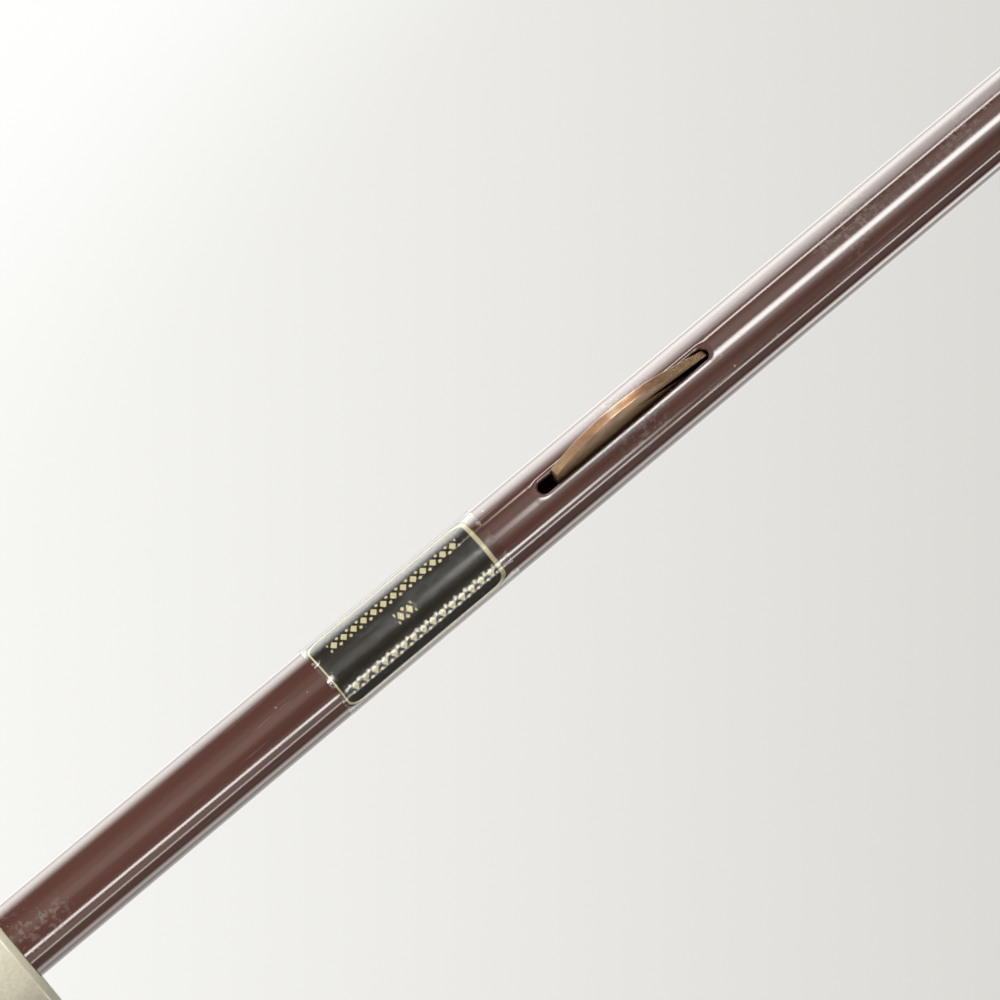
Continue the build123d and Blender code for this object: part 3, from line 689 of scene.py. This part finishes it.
def shaft():
    """The tube as two fine skins, open where the slots are; the rolled lips fill these square openings."""
    low_edge = asin((MOUTH_ASIDE - OPENING_HALF) / SHAFT_R)
    high_edge = asin((MOUTH_ASIDE + OPENING_HALF) / SHAFT_R)
    across_opening, round_back = 16, 112
    angles = list(np.linspace(low_edge, high_edge, across_opening, endpoint=False))
    angles += list(np.linspace(high_edge, low_edge + TURN, round_back, endpoint=False))
    low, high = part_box("shaft_tube")
    openings = []
    for slot_low in (HAND_SLOT_Z, TOP_SLOT_Z - SLOT_LENGTH):
        beyond = OPENING_HALF - MOUTH_HALF
        openings.append((slot_low - beyond, slot_low + SLOT_LENGTH + beyond))
    between = [openings[0][1] + (openings[1][0] - openings[0][1]) * share for share in (0.3, 0.7)]
    stops = [low.z, 0, *openings[0], *between, *openings[1], NOTCH_Z, high.z]
    heights = [stops[0]]
    for start, stop in zip(stops, stops[1:]):
        heights += list(np.linspace(start, stop, 5)[1:])
    rows, columns = len(heights), len(angles)
    vertices = [skin_point(r, a, z) for r in (SHAFT_R, SHAFT_R - SHAFT_WALL) for z in heights for a in angles]
    faces, corners = [], []
    count = rows * columns

    def add(places):
        """One face; each place is (skin, row, column)."""
        faces.append([skin * count + row * columns + column % columns for skin, row, column in places])
        corners.append([(column * TURN * SHAFT_R / columns, heights[row]) for skin, row, column in places])

    def is_open(row, column):
        middle = (heights[row] + heights[row + 1]) / 2
        return column % columns < across_opening and any(start < middle < stop for start, stop in openings)

    for row in range(rows - 1):
        for column in range(columns):
            a, b, c, d = (row, column), (row, column + 1), (row + 1, column + 1), (row + 1, column)
            if is_open(row, column):
                continue
            add([(0, *place) for place in (a, b, c, d)])
            add([(1, *place) for place in (d, c, b, a)])
            walls = (
                (a, b, row == 0 or is_open(row - 1, column)),
                (c, d, row == rows - 2 or is_open(row + 1, column)),
                (b, c, is_open(row, column + 1)),
                (d, a, is_open(row, column - 1)),
            )
            for here, there, bare in walls:
                if bare:
                    add([(0, *there), (0, *here), (1, *here), (1, *there)])
    return piece("shaft", vertices, faces, corners, "stick", ENAMEL)


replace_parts(shaft(), "shaft_tube")


def lip_fall(out):
    """How far the lip lies under the shaft's skin at a place outside the slot's mouth."""
    dish_depth, dish_reach, roll = 0.08 * MM, 0.95 * MM, 0.24 * MM
    dish = dish_depth * max(0, 1 - out / dish_reach) ** 3
    over = max(0, roll - out)
    return dish + roll - sqrt(roll**2 - over**2)


def slot_lip(name, middle):
    """The soft rolled edge of enamel round a slot: the skin dips a little and rolls down into the slot."""
    straight = SLOT_LENGTH / 2 - MOUTH_HALF
    roll = (0.95, 0.8, 0.66, 0.54, 0.43, 0.34, 0.26, 0.19, 0.13, 0.08, 0.04, 0.015, 0)
    outs = [out * MM for out in roll]
    inside = [(MOUTH_HALF, 0.55 * MM), (MOUTH_HALF, 0.75 * MM), (MOUTH_HALF + 0.5 * MM, 0.72 * MM)]
    inside.append((OPENING_HALF, 0.4 * MM))
    rings = []
    for end in (1, -1):
        bends = [(pi * step / LIP_STEPS, 0) for step in range(LIP_STEPS + 1)]
        slides = [(pi, 2 * step / LIP_STEPS) for step in range(1, LIP_STEPS)]
        for angle, slide in bends + slides:
            square = OPENING_HALF / max(abs(cos(angle)), abs(sin(angle)))
            profile = [(square, 0), ((square + MOUTH_HALF + outs[0]) / 2, 0)]
            profile += [(MOUTH_HALF + out, lip_fall(out)) for out in outs] + inside
            ring = []
            for reach, fall in profile:
                x = MOUTH_ASIDE + end * reach * cos(angle)
                z = middle + end * (straight * (1 - slide) + reach * sin(angle))
                ring.append((x, -sqrt((SHAFT_R - fall) ** 2 - x * x), z))
            rings.append(ring)
    tube(name, rings, "stick", ENAMEL, closed=True, sharp=60)


slot_lip("hand_slot_lip", HAND_SLOT_Z + SLOT_LENGTH / 2)
slot_lip("top_slot_lip", TOP_SLOT_Z - SLOT_LENGTH / 2)


# ---------------- spring catches
# Millimetres along the slot from its blunt end, and out from the shaft's axis.
CATCH_NOSE, CATCH_PEAK, CATCH_SLOPE, CATCH_TOE = (3.1, 6.2), (12.6, 9.1), (19.5, 7.7), (26.2, 4.35)
CATCH_BLUNT = 2.7
BLADE = 1.2 * MM


def through_three(first, middle, last, steps):
    """Points on the arc through three points."""
    a, b, c = (complex(*point) for point in (first, middle, last))
    ratio = (c - a) / (b - a)
    centre = a + (b - a) * (ratio - abs(ratio) ** 2) / (2j * ratio.imag)
    start, end = (atan2((point - centre).imag, (point - centre).real) for point in (a, c))
    radius = abs(a - centre)
    angles = np.linspace(start, end, steps + 1)
    return [(centre.real + radius * cos(angle), centre.imag + radius * sin(angle)) for angle in angles]


def catch_outline():
    """The catch from the side, in millimetres: along the slot from its blunt end, and out from the axis."""
    hump = through_three(CATCH_NOSE, CATCH_PEAK, CATCH_SLOPE, 40)
    slope = [tuple(point) for point in np.linspace(CATCH_SLOPE, CATCH_TOE, 11)[1:]]
    toe = [(26.75, 4.1), (27.05, 3.8), (27.2, 3.4), (27.25, 2.95), (27.6, 2.5)]
    tail = [(30, 2.33), (46, 1.27), (46, 0.5), (27.6, 1.6), (20, 1.55), (CATCH_BLUNT, 1.5)]
    nose = [(CATCH_BLUNT, 3.5), (CATCH_BLUNT, 5.6), (CATCH_BLUNT + 0.08, 5.95), (CATCH_BLUNT + 0.22, 6.13)]
    return hump + slope + toe + tail + nose


def blade(name, node, body, slot_end, upward):
    """A catch as a thick blade with rounded edges."""
    outline = np.array(catch_outline()) * MM
    before, after = np.roll(outline, 1, axis=0), np.roll(outline, -1, axis=0)
    run = after - before
    inward = np.stack((run[:, 1], -run[:, 0]), axis=1)
    inward /= np.linalg.norm(inward, axis=1, keepdims=True)
    edge, steps = 0.16 * MM, 4
    half = []
    for step in range(steps + 1):
        angle = pi / 2 * step / steps
        half.append((-BLADE / 2 + edge * (1 - cos(angle)), edge * (1 - sin(angle))))
    whole = half + [(-x, inset) for x, inset in reversed(half)]
    rings = []
    for x, inset in whole:
        ring = outline + inward * inset
        rings.append([(x, -out, slot_end + upward * along) for along, out in ring])
    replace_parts(tube(name, rings, body, BRONZE, sharp=50, turned=upward > 0), node)


blade("hand_catch_blade", "hand_spring", "hand_catch", HAND_SLOT_Z, 1)
blade("top_catch_blade", "top_spring", "top_catch", TOP_SLOT_Z, -1)


# ---------------- collar, crook and ferrule
def collar():
    """A pressed cap with a plain bevelled rim, drawn down over the end of the grip."""
    section = [
        (5.05, -1.2, 0), (5.05, -0.12, 0.08), (8.8, -0.05, 0.2), (9.55, -0.02, 0.35), (10.05, -0.85, 0.5),
        (10.19, -1.35, 0.5), (10.17, -17, 0.5), (10.2, -17.9, 0.4), (9.72, -17.9, 0.1), (9.72, -1.2, 0.2),
    ]
    outline = [(r * MM, z * MM) for r, z in rounded(section)]
    rings = [[around_shaft(r, angle, z) for r, z in outline] for angle in turns(160)]
    made = tube("collar_cap", rings, "stick", CHAMPAGNE, closed=True, sharp=30, turned=True)
    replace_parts(made, "handle_collar")


collar()

GRIP_FROM, GRIP_END, GRIP_R, COLLAR_LENGTH = -1.2 * MM, -112 * MM, 10 * MM, 18 * MM
CROOK_R, NOSE_LENGTH, DOME = 42 * MM, 16 * MM, 8 * MM
TENON_R, NECK, NECK_LENGTH = 9.6 * MM, 0.35 * MM, 6 * MM  # in the collar, and the narrowing under it


def crook():
    """The handle as a skin over rings that follow the crook, narrower under the collar, with a domed nose."""
    dome_from = GRIP_END + NOSE_LENGTH - DOME
    path = [(0, z, 0) for z in np.linspace(GRIP_FROM, GRIP_END, 41)]
    for bend in np.linspace(0, pi, 65)[1:]:
        path.append((CROOK_R * (1 - cos(bend)), GRIP_END - CROOK_R * sin(bend), bend))
    path += [(2 * CROOK_R, z, pi) for z in np.linspace(GRIP_END, dome_from, 9)[1:]]
    path += [(2 * CROOK_R, dome_from + DOME * sin(bend), pi) for bend in np.linspace(0, pi / 2, 13)[1:]]
    rings = []
    for x, z, bend in path:
        spine = Vector((x, 0, z))
        aside = Vector((-cos(bend), 0, -sin(bend)))
        radius = GRIP_R
        if bend == 0:
            below = -COLLAR_LENGTH - z
            radius = TENON_R if below < 0 else GRIP_R - NECK * max(0, 1 - below / NECK_LENGTH)
        if bend == pi and z > dome_from:
            rise = (z - dome_from) / DOME
            radius = GRIP_R * max(0.02, sqrt(max(0, 1 - rise**2)) * 0.5 + 0.5 * max(0, 1 - rise**3))
        rings.append([spine + (aside * cos(a) + Vector((0, 1, 0)) * sin(a)) * radius for a in turns(64)])
    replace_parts(tube("crook", rings, "stick", WOOD), "crook_handle")


crook()


def cup_rings():
    """Two fine turned rings round the foot of the ferrule's cup."""
    low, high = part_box("ferrule_cup")
    for number, height in ((1, 0.55 * MM), (2, 1.35 * MM)):
        path = [around_shaft(high.x - 0.05 * MM, angle, low.z + height) for angle in turns(96)]
        wire(f"cup_ring_{number}", path, 0.14 * MM, "stick", CHAMPAGNE, closed=True)


cup_rings()

# ---------------- canopy
CLOTH_OUT = 2.45 * MM  # the sheet's outer face above the ribs' centre line
CLOTH_THICK = 0.3 * MM
CLOTH_START, CLOTH_END = -MM, 618 * MM
SCALLOP = 47 * MM
SAG = 8 * MM
HEM, HEM_THICK, HEM_EDGE = 7 * MM, 0.95 * MM, 0.4 * MM
GORE_ACROSS, GORE_ALONG, HEM_ROWS = 26, 90, 10
GATHERED_ASIDE = 3.2 * MM  # shift meant for the folded cloth, to close the gaps at the crown; gather's anchor takes it, but nothing moves the cloth
SEAM_HALF = 4.6 * MM
STRAP_FROM, STRAP_TO, STRAP_HALF, STRAP_RIB = 462 * MM, 610 * MM, 10 * MM, 7
chord_top, chord_end = rib_point(0), rib_point(RIB_LENGTH)
CHORD_DROOP = atan2(chord_top[1] - chord_end[1], chord_end[0] - chord_top[0])


def gore_point(number, side, share, along, out):
    """A place of a gore. share runs from 0 at rib number to 1 at the next rib on that side."""
    radius, height = rib_point(along, out)
    here = around_shaft(radius, rib_azimuth(number), height)
    there = around_shaft(radius, rib_azimuth(number + side), height)
    middle = rib_azimuth(number + side / 2)
    turning = RIB_DROOP + along / RIB_RADIUS
    outward = around_shaft(sin(turning), middle, cos(turning))
    belly = 4 * share * (1 - share) * sin(min(1, max(0, along / CLOTH_END)) * pi * 0.86)
    return here + (there - here) * share - outward * SAG * belly


def gore_grid(number, side):
    """The outer face of half a gore, from its rib to its middle line, and the running lengths of its hem."""
    grid = np.zeros((GORE_ALONG + 1, GORE_ACROSS + 1, 3))
    left = np.zeros((GORE_ALONG + 1, GORE_ACROSS + 1))
    for j in range(GORE_ACROSS + 1):
        share = j / GORE_ACROSS / 2
        end = CLOTH_END - SCALLOP * 4 * share * (1 - share)
        stops = list(np.linspace(CLOTH_START, end - HEM, GORE_ALONG - HEM_ROWS + 1))
        stops += list(np.linspace(end - HEM + HEM_EDGE, end, HEM_ROWS))
        for i, along in enumerate(stops):
            grid[i, j] = gore_point(number, side, share, along, CLOTH_OUT)
            left[i, j] = end - along
    return grid, left


def half_gore(number, side):
    """Half a gore as a thin sheet with a turned hem, riding on its own rib."""
    grid, left = gore_grid(number, side)
    normal = grid_normals(grid) * side
    hemmed = np.clip((HEM + HEM_EDGE / 2 - left) / HEM_EDGE, 0, 1)[..., None]
    outer = grid + normal * 0.12 * MM * hemmed
    inner = grid - normal * (CLOTH_THICK + (HEM_THICK - CLOTH_THICK) * hemmed)
    across, along = running(grid[GORE_ALONG // 2]), running(grid[:, 0])
    gore = number if side > 0 else (number - 2) % RIBS + 1
    across = gore * 0.5 + (across if side > 0 else 2 * across[-1] - across)
    if side < 0:
        outer, inner = outer[:, ::-1], inner[:, ::-1]
        across = across[::-1]
    name = f"canopy_{number}_{'right' if side > 0 else 'left'}"
    return shell(name, outer, inner, f"rib_{number}", CANOPY, across, along, 50)


def gather(sheet, number, side):
    """Works out an axis and anchor for flattening half a gore across its rib, so that it would hang beside
    the closed shaft, but only gives the sheet its own mesh.
    """
    tangent = rib_frame(number, 0)[1]
    radial = Vector(around_shaft(1, rib_azimuth(number), 0))
    inward = -(radial * sin(CHORD_DROOP) + Vector((0, 0, cos(CHORD_DROOP))))
    dip = atan2(sin(GORE / 2) * sin(CHORD_DROOP), cos(GORE / 2))
    lean, keep = (radians(3), 0.35) if side > 0 else (0, 0.12)
    axis = tangent * side * cos(dip + lean) + inward * sin(dip + lean)
    anchor = (rib_frame(number, RIB_LENGTH / 2)[0] + rib_frame(number, RIB_LENGTH)[0]) / 2
    anchor += axis * (GATHERED_ASIDE / (1 - keep))
    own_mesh(sheet)


def over_rib(name, number, look, start, stop, half_width, profile, steps, columns):
    """A strip over a rib that follows both gores. profile(along, chord) gives the strip's half width and,
    for each share of it, how far its lower and upper faces stand off the ribs' centre line."""
    shares = np.linspace(-1, 1, columns)
    outer, inner = [], []
    for step in range(steps + 1):
        along = start + (stop - start) * step / steps
        chord = 2 * rib_point(along)[0] * sin(GORE / 2)
        width, stand = profile(along, chord)
        top, low = [], []
        for share in shares:
            side = 1 if share >= 0 else -1
            bottom, rise = stand(abs(share))
            part = abs(share) * width / chord
            top.append(gore_point(number, side, part, along, bottom + rise))
            low.append(gore_point(number, side, part, along, bottom))
        outer.append(top)
        inner.append(low)
    along = np.linspace(0, stop - start, steps + 1)
    return shell(name, outer, inner, f"rib_{number}", look, shares * half_width, along, 60)


def seam_profile(along, chord):
    """The felled seam, a narrow raised strip."""

    def stand(share):
        return CLOTH_OUT - 0.1 * MM, 0.42 * MM * (1 - share**6) + 0.24 * MM

    return min(SEAM_HALF, chord * 0.42), stand


def strap_profile(along, chord):
    """The tie strap, with a rounded end, bound edges and soft waves."""
    end = (along - STRAP_FROM) / (9 * MM)
    narrow = sqrt(max(0.02, 1 - max(0, 1 - end) ** 2))
    wave = 0.8 * MM * (0.5 + 0.5 * sin(along / (11 * MM))) * min(1, end / 3)

    def stand(share):
        edge = 0.25 * MM if share > 0.82 else 0
        return CLOTH_OUT + MM + wave * (1 - 0.5 * (share * narrow) ** 2), 0.75 * MM + edge

    return STRAP_HALF * narrow, stand


def tack(number, along, place):
    """Thread wound round a rib where the canopy is tied down to it."""
    middle, across, outward, run = rib_frame(number, along)
    half_width, top, bottom = 1.68 * MM, 2.05 * MM, -1.35 * MM
    winds, per_wind = 4, 16
    path = []
    for step in range(winds * per_wind + 1):
        angle = TURN * step / per_wind
        squarish = (abs(cos(angle)) ** 4 + abs(sin(angle)) ** 4) ** -0.25
        aside, rise = cos(angle) * squarish * half_width, sin(angle) * squarish
        height = (top + bottom) / 2 + rise * (top - bottom) / 2
        forward = (step / per_wind - winds / 2) * 0.36 * MM
        path.append(middle + across * aside + outward * height + run * forward)
    wire(f"tack_{number}_{place}", path, 0.17 * MM, f"rib_{number}", THREAD)


canopy_sheets = []
for number in range(1, RIBS + 1):
    for side in (1, -1):
        sheet = half_gore(number, side)
        gather(sheet, number, side)
        canopy_sheets.append(sheet)
    name = f"seam_{number}"
    over_rib(name, number, SEAM, CLOTH_START, CLOTH_END, SEAM_HALF, seam_profile, steps=120, columns=9)
    for place, along in (("inner", 120), ("joint", 259), ("outer", 430), ("end", 612)):
        tack(number, along * MM, place)
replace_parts(canopy_sheets[0], "canopy")


def rosette():
    """The gathered cloth washer that covers the canopy's crown under the ferrule's cup."""
    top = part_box("crown_washer")[1].z - 0.62 * MM
    inner_r, outer_r = SHAFT_R + 0.1 * MM, 13.8 * MM
    rings, sides, pinks = 16, 160, 40
    outer, inner = [], []
    for step in range(rings + 1):
        share = step / rings
        top_row, low_row = [], []
        for side in range(sides + 1):
            angle = TURN * side / sides
            pinked = 0.35 * MM * (2 * abs((side / sides * pinks) % 1 - 0.5) - 0.5)
            radius = inner_r + (outer_r + pinked - inner_r) * share
            ruffle = 0.22 * MM * share**1.5 * sin(16 * angle + 0.8 * sin(3 * angle))
            height = top - (radius - SHAFT_R) * tan(RIB_DROOP) + ruffle
            top_row.append(around_shaft(radius, angle, height + 0.3 * MM))
            low_row.append(around_shaft(radius, angle, height))
        outer.append(top_row)
        inner.append(low_row)
    across, along = np.linspace(0, TURN * 9 * MM, sides + 1), np.linspace(0, outer_r, rings + 1)
    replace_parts(shell("crown_rosette", outer, inner, "stick", ROSETTE, across, along), "crown_washer")


rosette()
ends = STRAP_FROM, STRAP_TO
strap = over_rib("tie_strap_cloth", STRAP_RIB, STRAP, *ends, STRAP_HALF, strap_profile, steps=90, columns=17)
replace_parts(strap, "tie_strap")


def strap_stud():
    """The domed snap near the strap's free end."""
    foot, _, outward, _ = rib_frame(STRAP_RIB, STRAP_FROM + 12 * MM)
    foot += outward * (CLOTH_OUT + 1.8 * MM)
    aside = outward.orthogonal().normalized()
    forward = outward.cross(aside)
    section = [
        (5.2, 0), (5.3, 0.35), (5, 0.62), (4.5, 0.55), (4.3, 0.75), (3.6, 1.25), (2.4, 1.6), (1, 1.75),
        (0.05, 1.78),
    ]
    rings = []
    for r, rise in section:
        middle = foot + outward * rise * MM
        rings.append([middle + (aside * cos(a) + forward * sin(a)) * r * MM for a in turns(48)])
    tube("strap_stud", rings, f"rib_{STRAP_RIB}", CHAMPAGNE)


strap_stud()

# ---------------- CAD nodes that keep their shapes
looks = {"runner_tube": ENAMEL, "ferrule": CHAMPAGNE, "ferrule_cup": CHAMPAGNE, "ferrule_tip": TIP}
looks |= dict.fromkeys(("shaft_pins", "handle_pin", "top_notch_pin", "top_notch_wire", "runner_wire"), STEEL)
looks |= dict.fromkeys(("top_notch", "runner_notch"), NOTCH)
for number in range(1, RIBS + 1):
    looks[f"rib_{number}"] = looks[f"rib_{number}_joint"] = looks[f"stretcher_{number}"] = FRAME_PAINT
    looks[f"rib_{number}_tip"] = CHAMPAGNE
    looks[f"stretcher_{number}_rivet"] = BRASS
for node, look in looks.items():
    materials = frame["nodes"][node].data.materials
    materials.clear()
    materials.append(look.material)

# ---------------- studio
VIEW_AZIMUTH, VIEW_TILT, VIEW_ROLL = radians(19.5), radians(7.1), radians(39.96)
VIEW_DISTANCE, VIEW_WIDTH = 600 * MM, 123.5 * MM
AIM_HEIGHT, AIM_ASIDE = 80.4 * MM, 3.64 * MM

toward = Vector((sin(VIEW_AZIMUTH), -cos(VIEW_AZIMUTH), 0))
aside = Vector((cos(VIEW_AZIMUTH), sin(VIEW_AZIMUTH), 0))
up = Vector((0, 0, 1))
back = toward * cos(VIEW_TILT) - up * sin(VIEW_TILT)
tilted_up = up * cos(VIEW_TILT) + toward * sin(VIEW_TILT)
right = tilted_up * cos(VIEW_ROLL) + aside * sin(VIEW_ROLL)
above = tilted_up * sin(VIEW_ROLL) - aside * cos(VIEW_ROLL)
camera = placed("camera", bpy.data.cameras.new("camera"))
camera.data.sensor_width = 36
camera.data.lens = camera.data.sensor_width * VIEW_DISTANCE / VIEW_WIDTH
camera.data.clip_start, camera.data.clip_end = 0.01, 100
place = up * AIM_HEIGHT - aside * AIM_ASIDE + back * VIEW_DISTANCE
turned = Matrix((right, above, back)).transposed().to_4x4()
camera.matrix_world = Matrix.Translation(place) @ turned
bpy.context.scene.camera = camera

LIGHT_DISTANCE, LIT_HEIGHT = 3.4, 0.3


def softbox(name, turn, height, width, tall, strength):
    """A soft light facing the shaft, turned round it from the camera's side, positive to the right."""
    data = bpy.data.lights.new(name, "AREA")
    data.shape = "RECTANGLE"
    data.size, data.size_y = width, tall
    data.energy = strength * width * tall * pi
    light = placed(name, data)
    azimuth = VIEW_AZIMUTH + radians(turn)
    light.location = Vector((sin(azimuth), -cos(azimuth), 0)) * LIGHT_DISTANCE + up * height
    light.rotation_mode = "QUATERNION"
    light.rotation_quaternion = (light.location - up * LIT_HEIGHT).to_track_quat("Z", "Y")
    light.visible_camera = False
    light.visible_glossy = False


softbox("key", -38, 1.3, 1.6, 2.2, 10)
softbox("fill", 150, 1.6, 2, 2, 1)

FLOOR_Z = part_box("crook_handle")[0].z - 0.2 * MM
FLOOR_R = 12
floor_mesh = bpy.data.meshes.new("floor")
rim = [around_shaft(FLOOR_R, angle, FLOOR_Z) for angle in turns(96)]
floor_mesh.from_pydata(rim, [], [list(range(96))])
floor = placed("floor", floor_mesh)

FLOOR = Look("floor", None, Roughness=0.6, Specular_IOR_Level=0)
spot = FLOOR.stretch(FLOOR.place(), (1, 1, 0))
from_below = FLOOR.node("NewGeometry", output="Backfacing")
gone = FLOOR.calc("MAXIMUM", FLOOR.ramp(FLOOR.length(spot), 0.9, 3.4), from_below)
paper = FLOOR.noise(spot, 30, 4)
FLOOR.set(Base_Color=FLOOR.mix(paper, (0.76, 0.755, 0.745), (0.79, 0.785, 0.775)))
clear = FLOOR.node("BsdfTransparent")
FLOOR.end(FLOOR.blend(gone, Value(FLOOR, FLOOR.shader.outputs[0]), clear))
floor_mesh.materials.append(FLOOR.material)


class Sky(Look):
    """The world's nodes: a backdrop for the camera with a painted falloff of light, even light, and cards
    that only gloss reflects.
    """

    def __init__(self, name):
        world = bpy.data.worlds.new(name)
        bpy.context.scene.world = world
        world.use_nodes = True
        world.cycles.sampling_method = "NONE"
        self.tree = world.node_tree

    def background(self, color, strength=1):
        return self.node("Background", {0: color, 1: strength})


sky = Sky("studio")
ray = sky.node("TexCoord", output="Generated")
ahead = sky.node("VectorMath", {0: ray, 1: tuple(toward)}, operation="DOT_PRODUCT", output="Value")
sideways = sky.node("VectorMath", {0: ray, 1: tuple(aside)}, operation="DOT_PRODUCT", output="Value")
turn = sky.calc("DEGREES", sky.calc("ARCTAN2", sideways, ahead))
rise = sky.calc("DEGREES", sky.calc("ARCSINE", sky.split(ray)[2]))


def card(middle, half_width, softness, foot, head, drift=0, change_at=7, change_over=3):
    """The light of one card. Angles are in degrees. It stands at middle at seven degrees of rise and drifts
    sideways above and below that; its strength goes from foot to head round change_at."""
    away = abs(turn - ((rise - 7) * drift + middle))
    shape = sky.ramp(away, half_width + softness, half_width - softness)
    return shape * sky.ramp(rise, change_at - change_over, change_at + change_over, foot, head)


cards = (
    card(-115.5, 17, 15, 6.8, 9.2, drift=0.2, change_over=5),  # the left rim
    card(-153, 25, 14, 2.2, 2.3),  # its skirt, towards the back
    card(-96, 13, 11, 0, 5.8, drift=2, change_at=7.5),  # its upper shoulder
    card(-62.8, 2.8, 2, 0, 15.5, change_at=7.2, change_over=0.9),  # the thin left line
    card(-26, 22, 14, 0.55, 1.35),  # the broad front sheen
    card(-15, 12, 4, 0.55, 0),  # its sharp right side
    card(-10.6, 7, 5, 0, 19, drift=0.75, change_at=7.7, change_over=1.5),  # the key
    card(-2, 11, 10, 0, 3.6, change_at=7.5),  # the key's skirt
    card(8, 11, 12, 0, 1.5, change_at=8.5, change_over=4),  # and its far side
    card(45, 10, 9, 0.9, 0.4),  # a glow before the right line
    card(52.5, 3.4, 2.4, 18, 0.6, drift=1.6, change_at=8.5, change_over=1.2),  # the right line
    card(61, 8, 4, 1.2, 0.2, change_at=9, change_over=1.5),  # its skirt
    card(70.7, 2.6, 2.2, 7.5, 0, change_at=6, change_over=1.5),  # the thin right line, low down
    card(68.8, 2.6, 2.2, 0, 11, drift=0.95, change_at=6, change_over=1.5),  # and further up
    card(86, 12, 5, 0.25, 0.4),  # the dark side
    card(114.9, 7.5, 6, 3.6, 5.9, drift=0.6, change_at=10.5, change_over=2),  # the right rim
    card(151, 37, 6, 1.4, 1.4),  # its skirt
)
shine = sum(cards, 0.06)
reach = sky.ramp(abs(rise), 28, 50)
shine = sky.mix(reach, shine, (0.9, 0.9, 0.9))
kind = sky.outputs("LightPath")
# The backdrop is painted with a falloff of light: pale on the left, greyer towards the right and brighter
# towards the upper left corner.
window_x, window_y = sky.split(sky.node("TexCoord", output="Window"))[0:2]
backdrop_falloff = sky.mix(sky.calc("MULTIPLY", window_x, 1, clamp=True), (0.93, 0.925, 0.895), (0.715, 0.705, 0.675))
corner = sky.ramp(window_y - window_x, 0.45, 1)
backdrop_falloff = sky.background(sky.mix(corner, backdrop_falloff, (1, 1, 0.99)))
even = sky.background((0.93, 0.93, 0.92), 0.62)
glossy = sky.background(sky.stretch(shine, (0.972, 0.968, 0.943)))
seen = sky.blend(kind["Is Glossy Ray"], even, glossy)
seen = sky.blend(kind["Is Camera Ray"], seen, backdrop_falloff)
sky.end(seen, "World Output")
bpy.context.scene.view_settings.view_transform = "Standard"
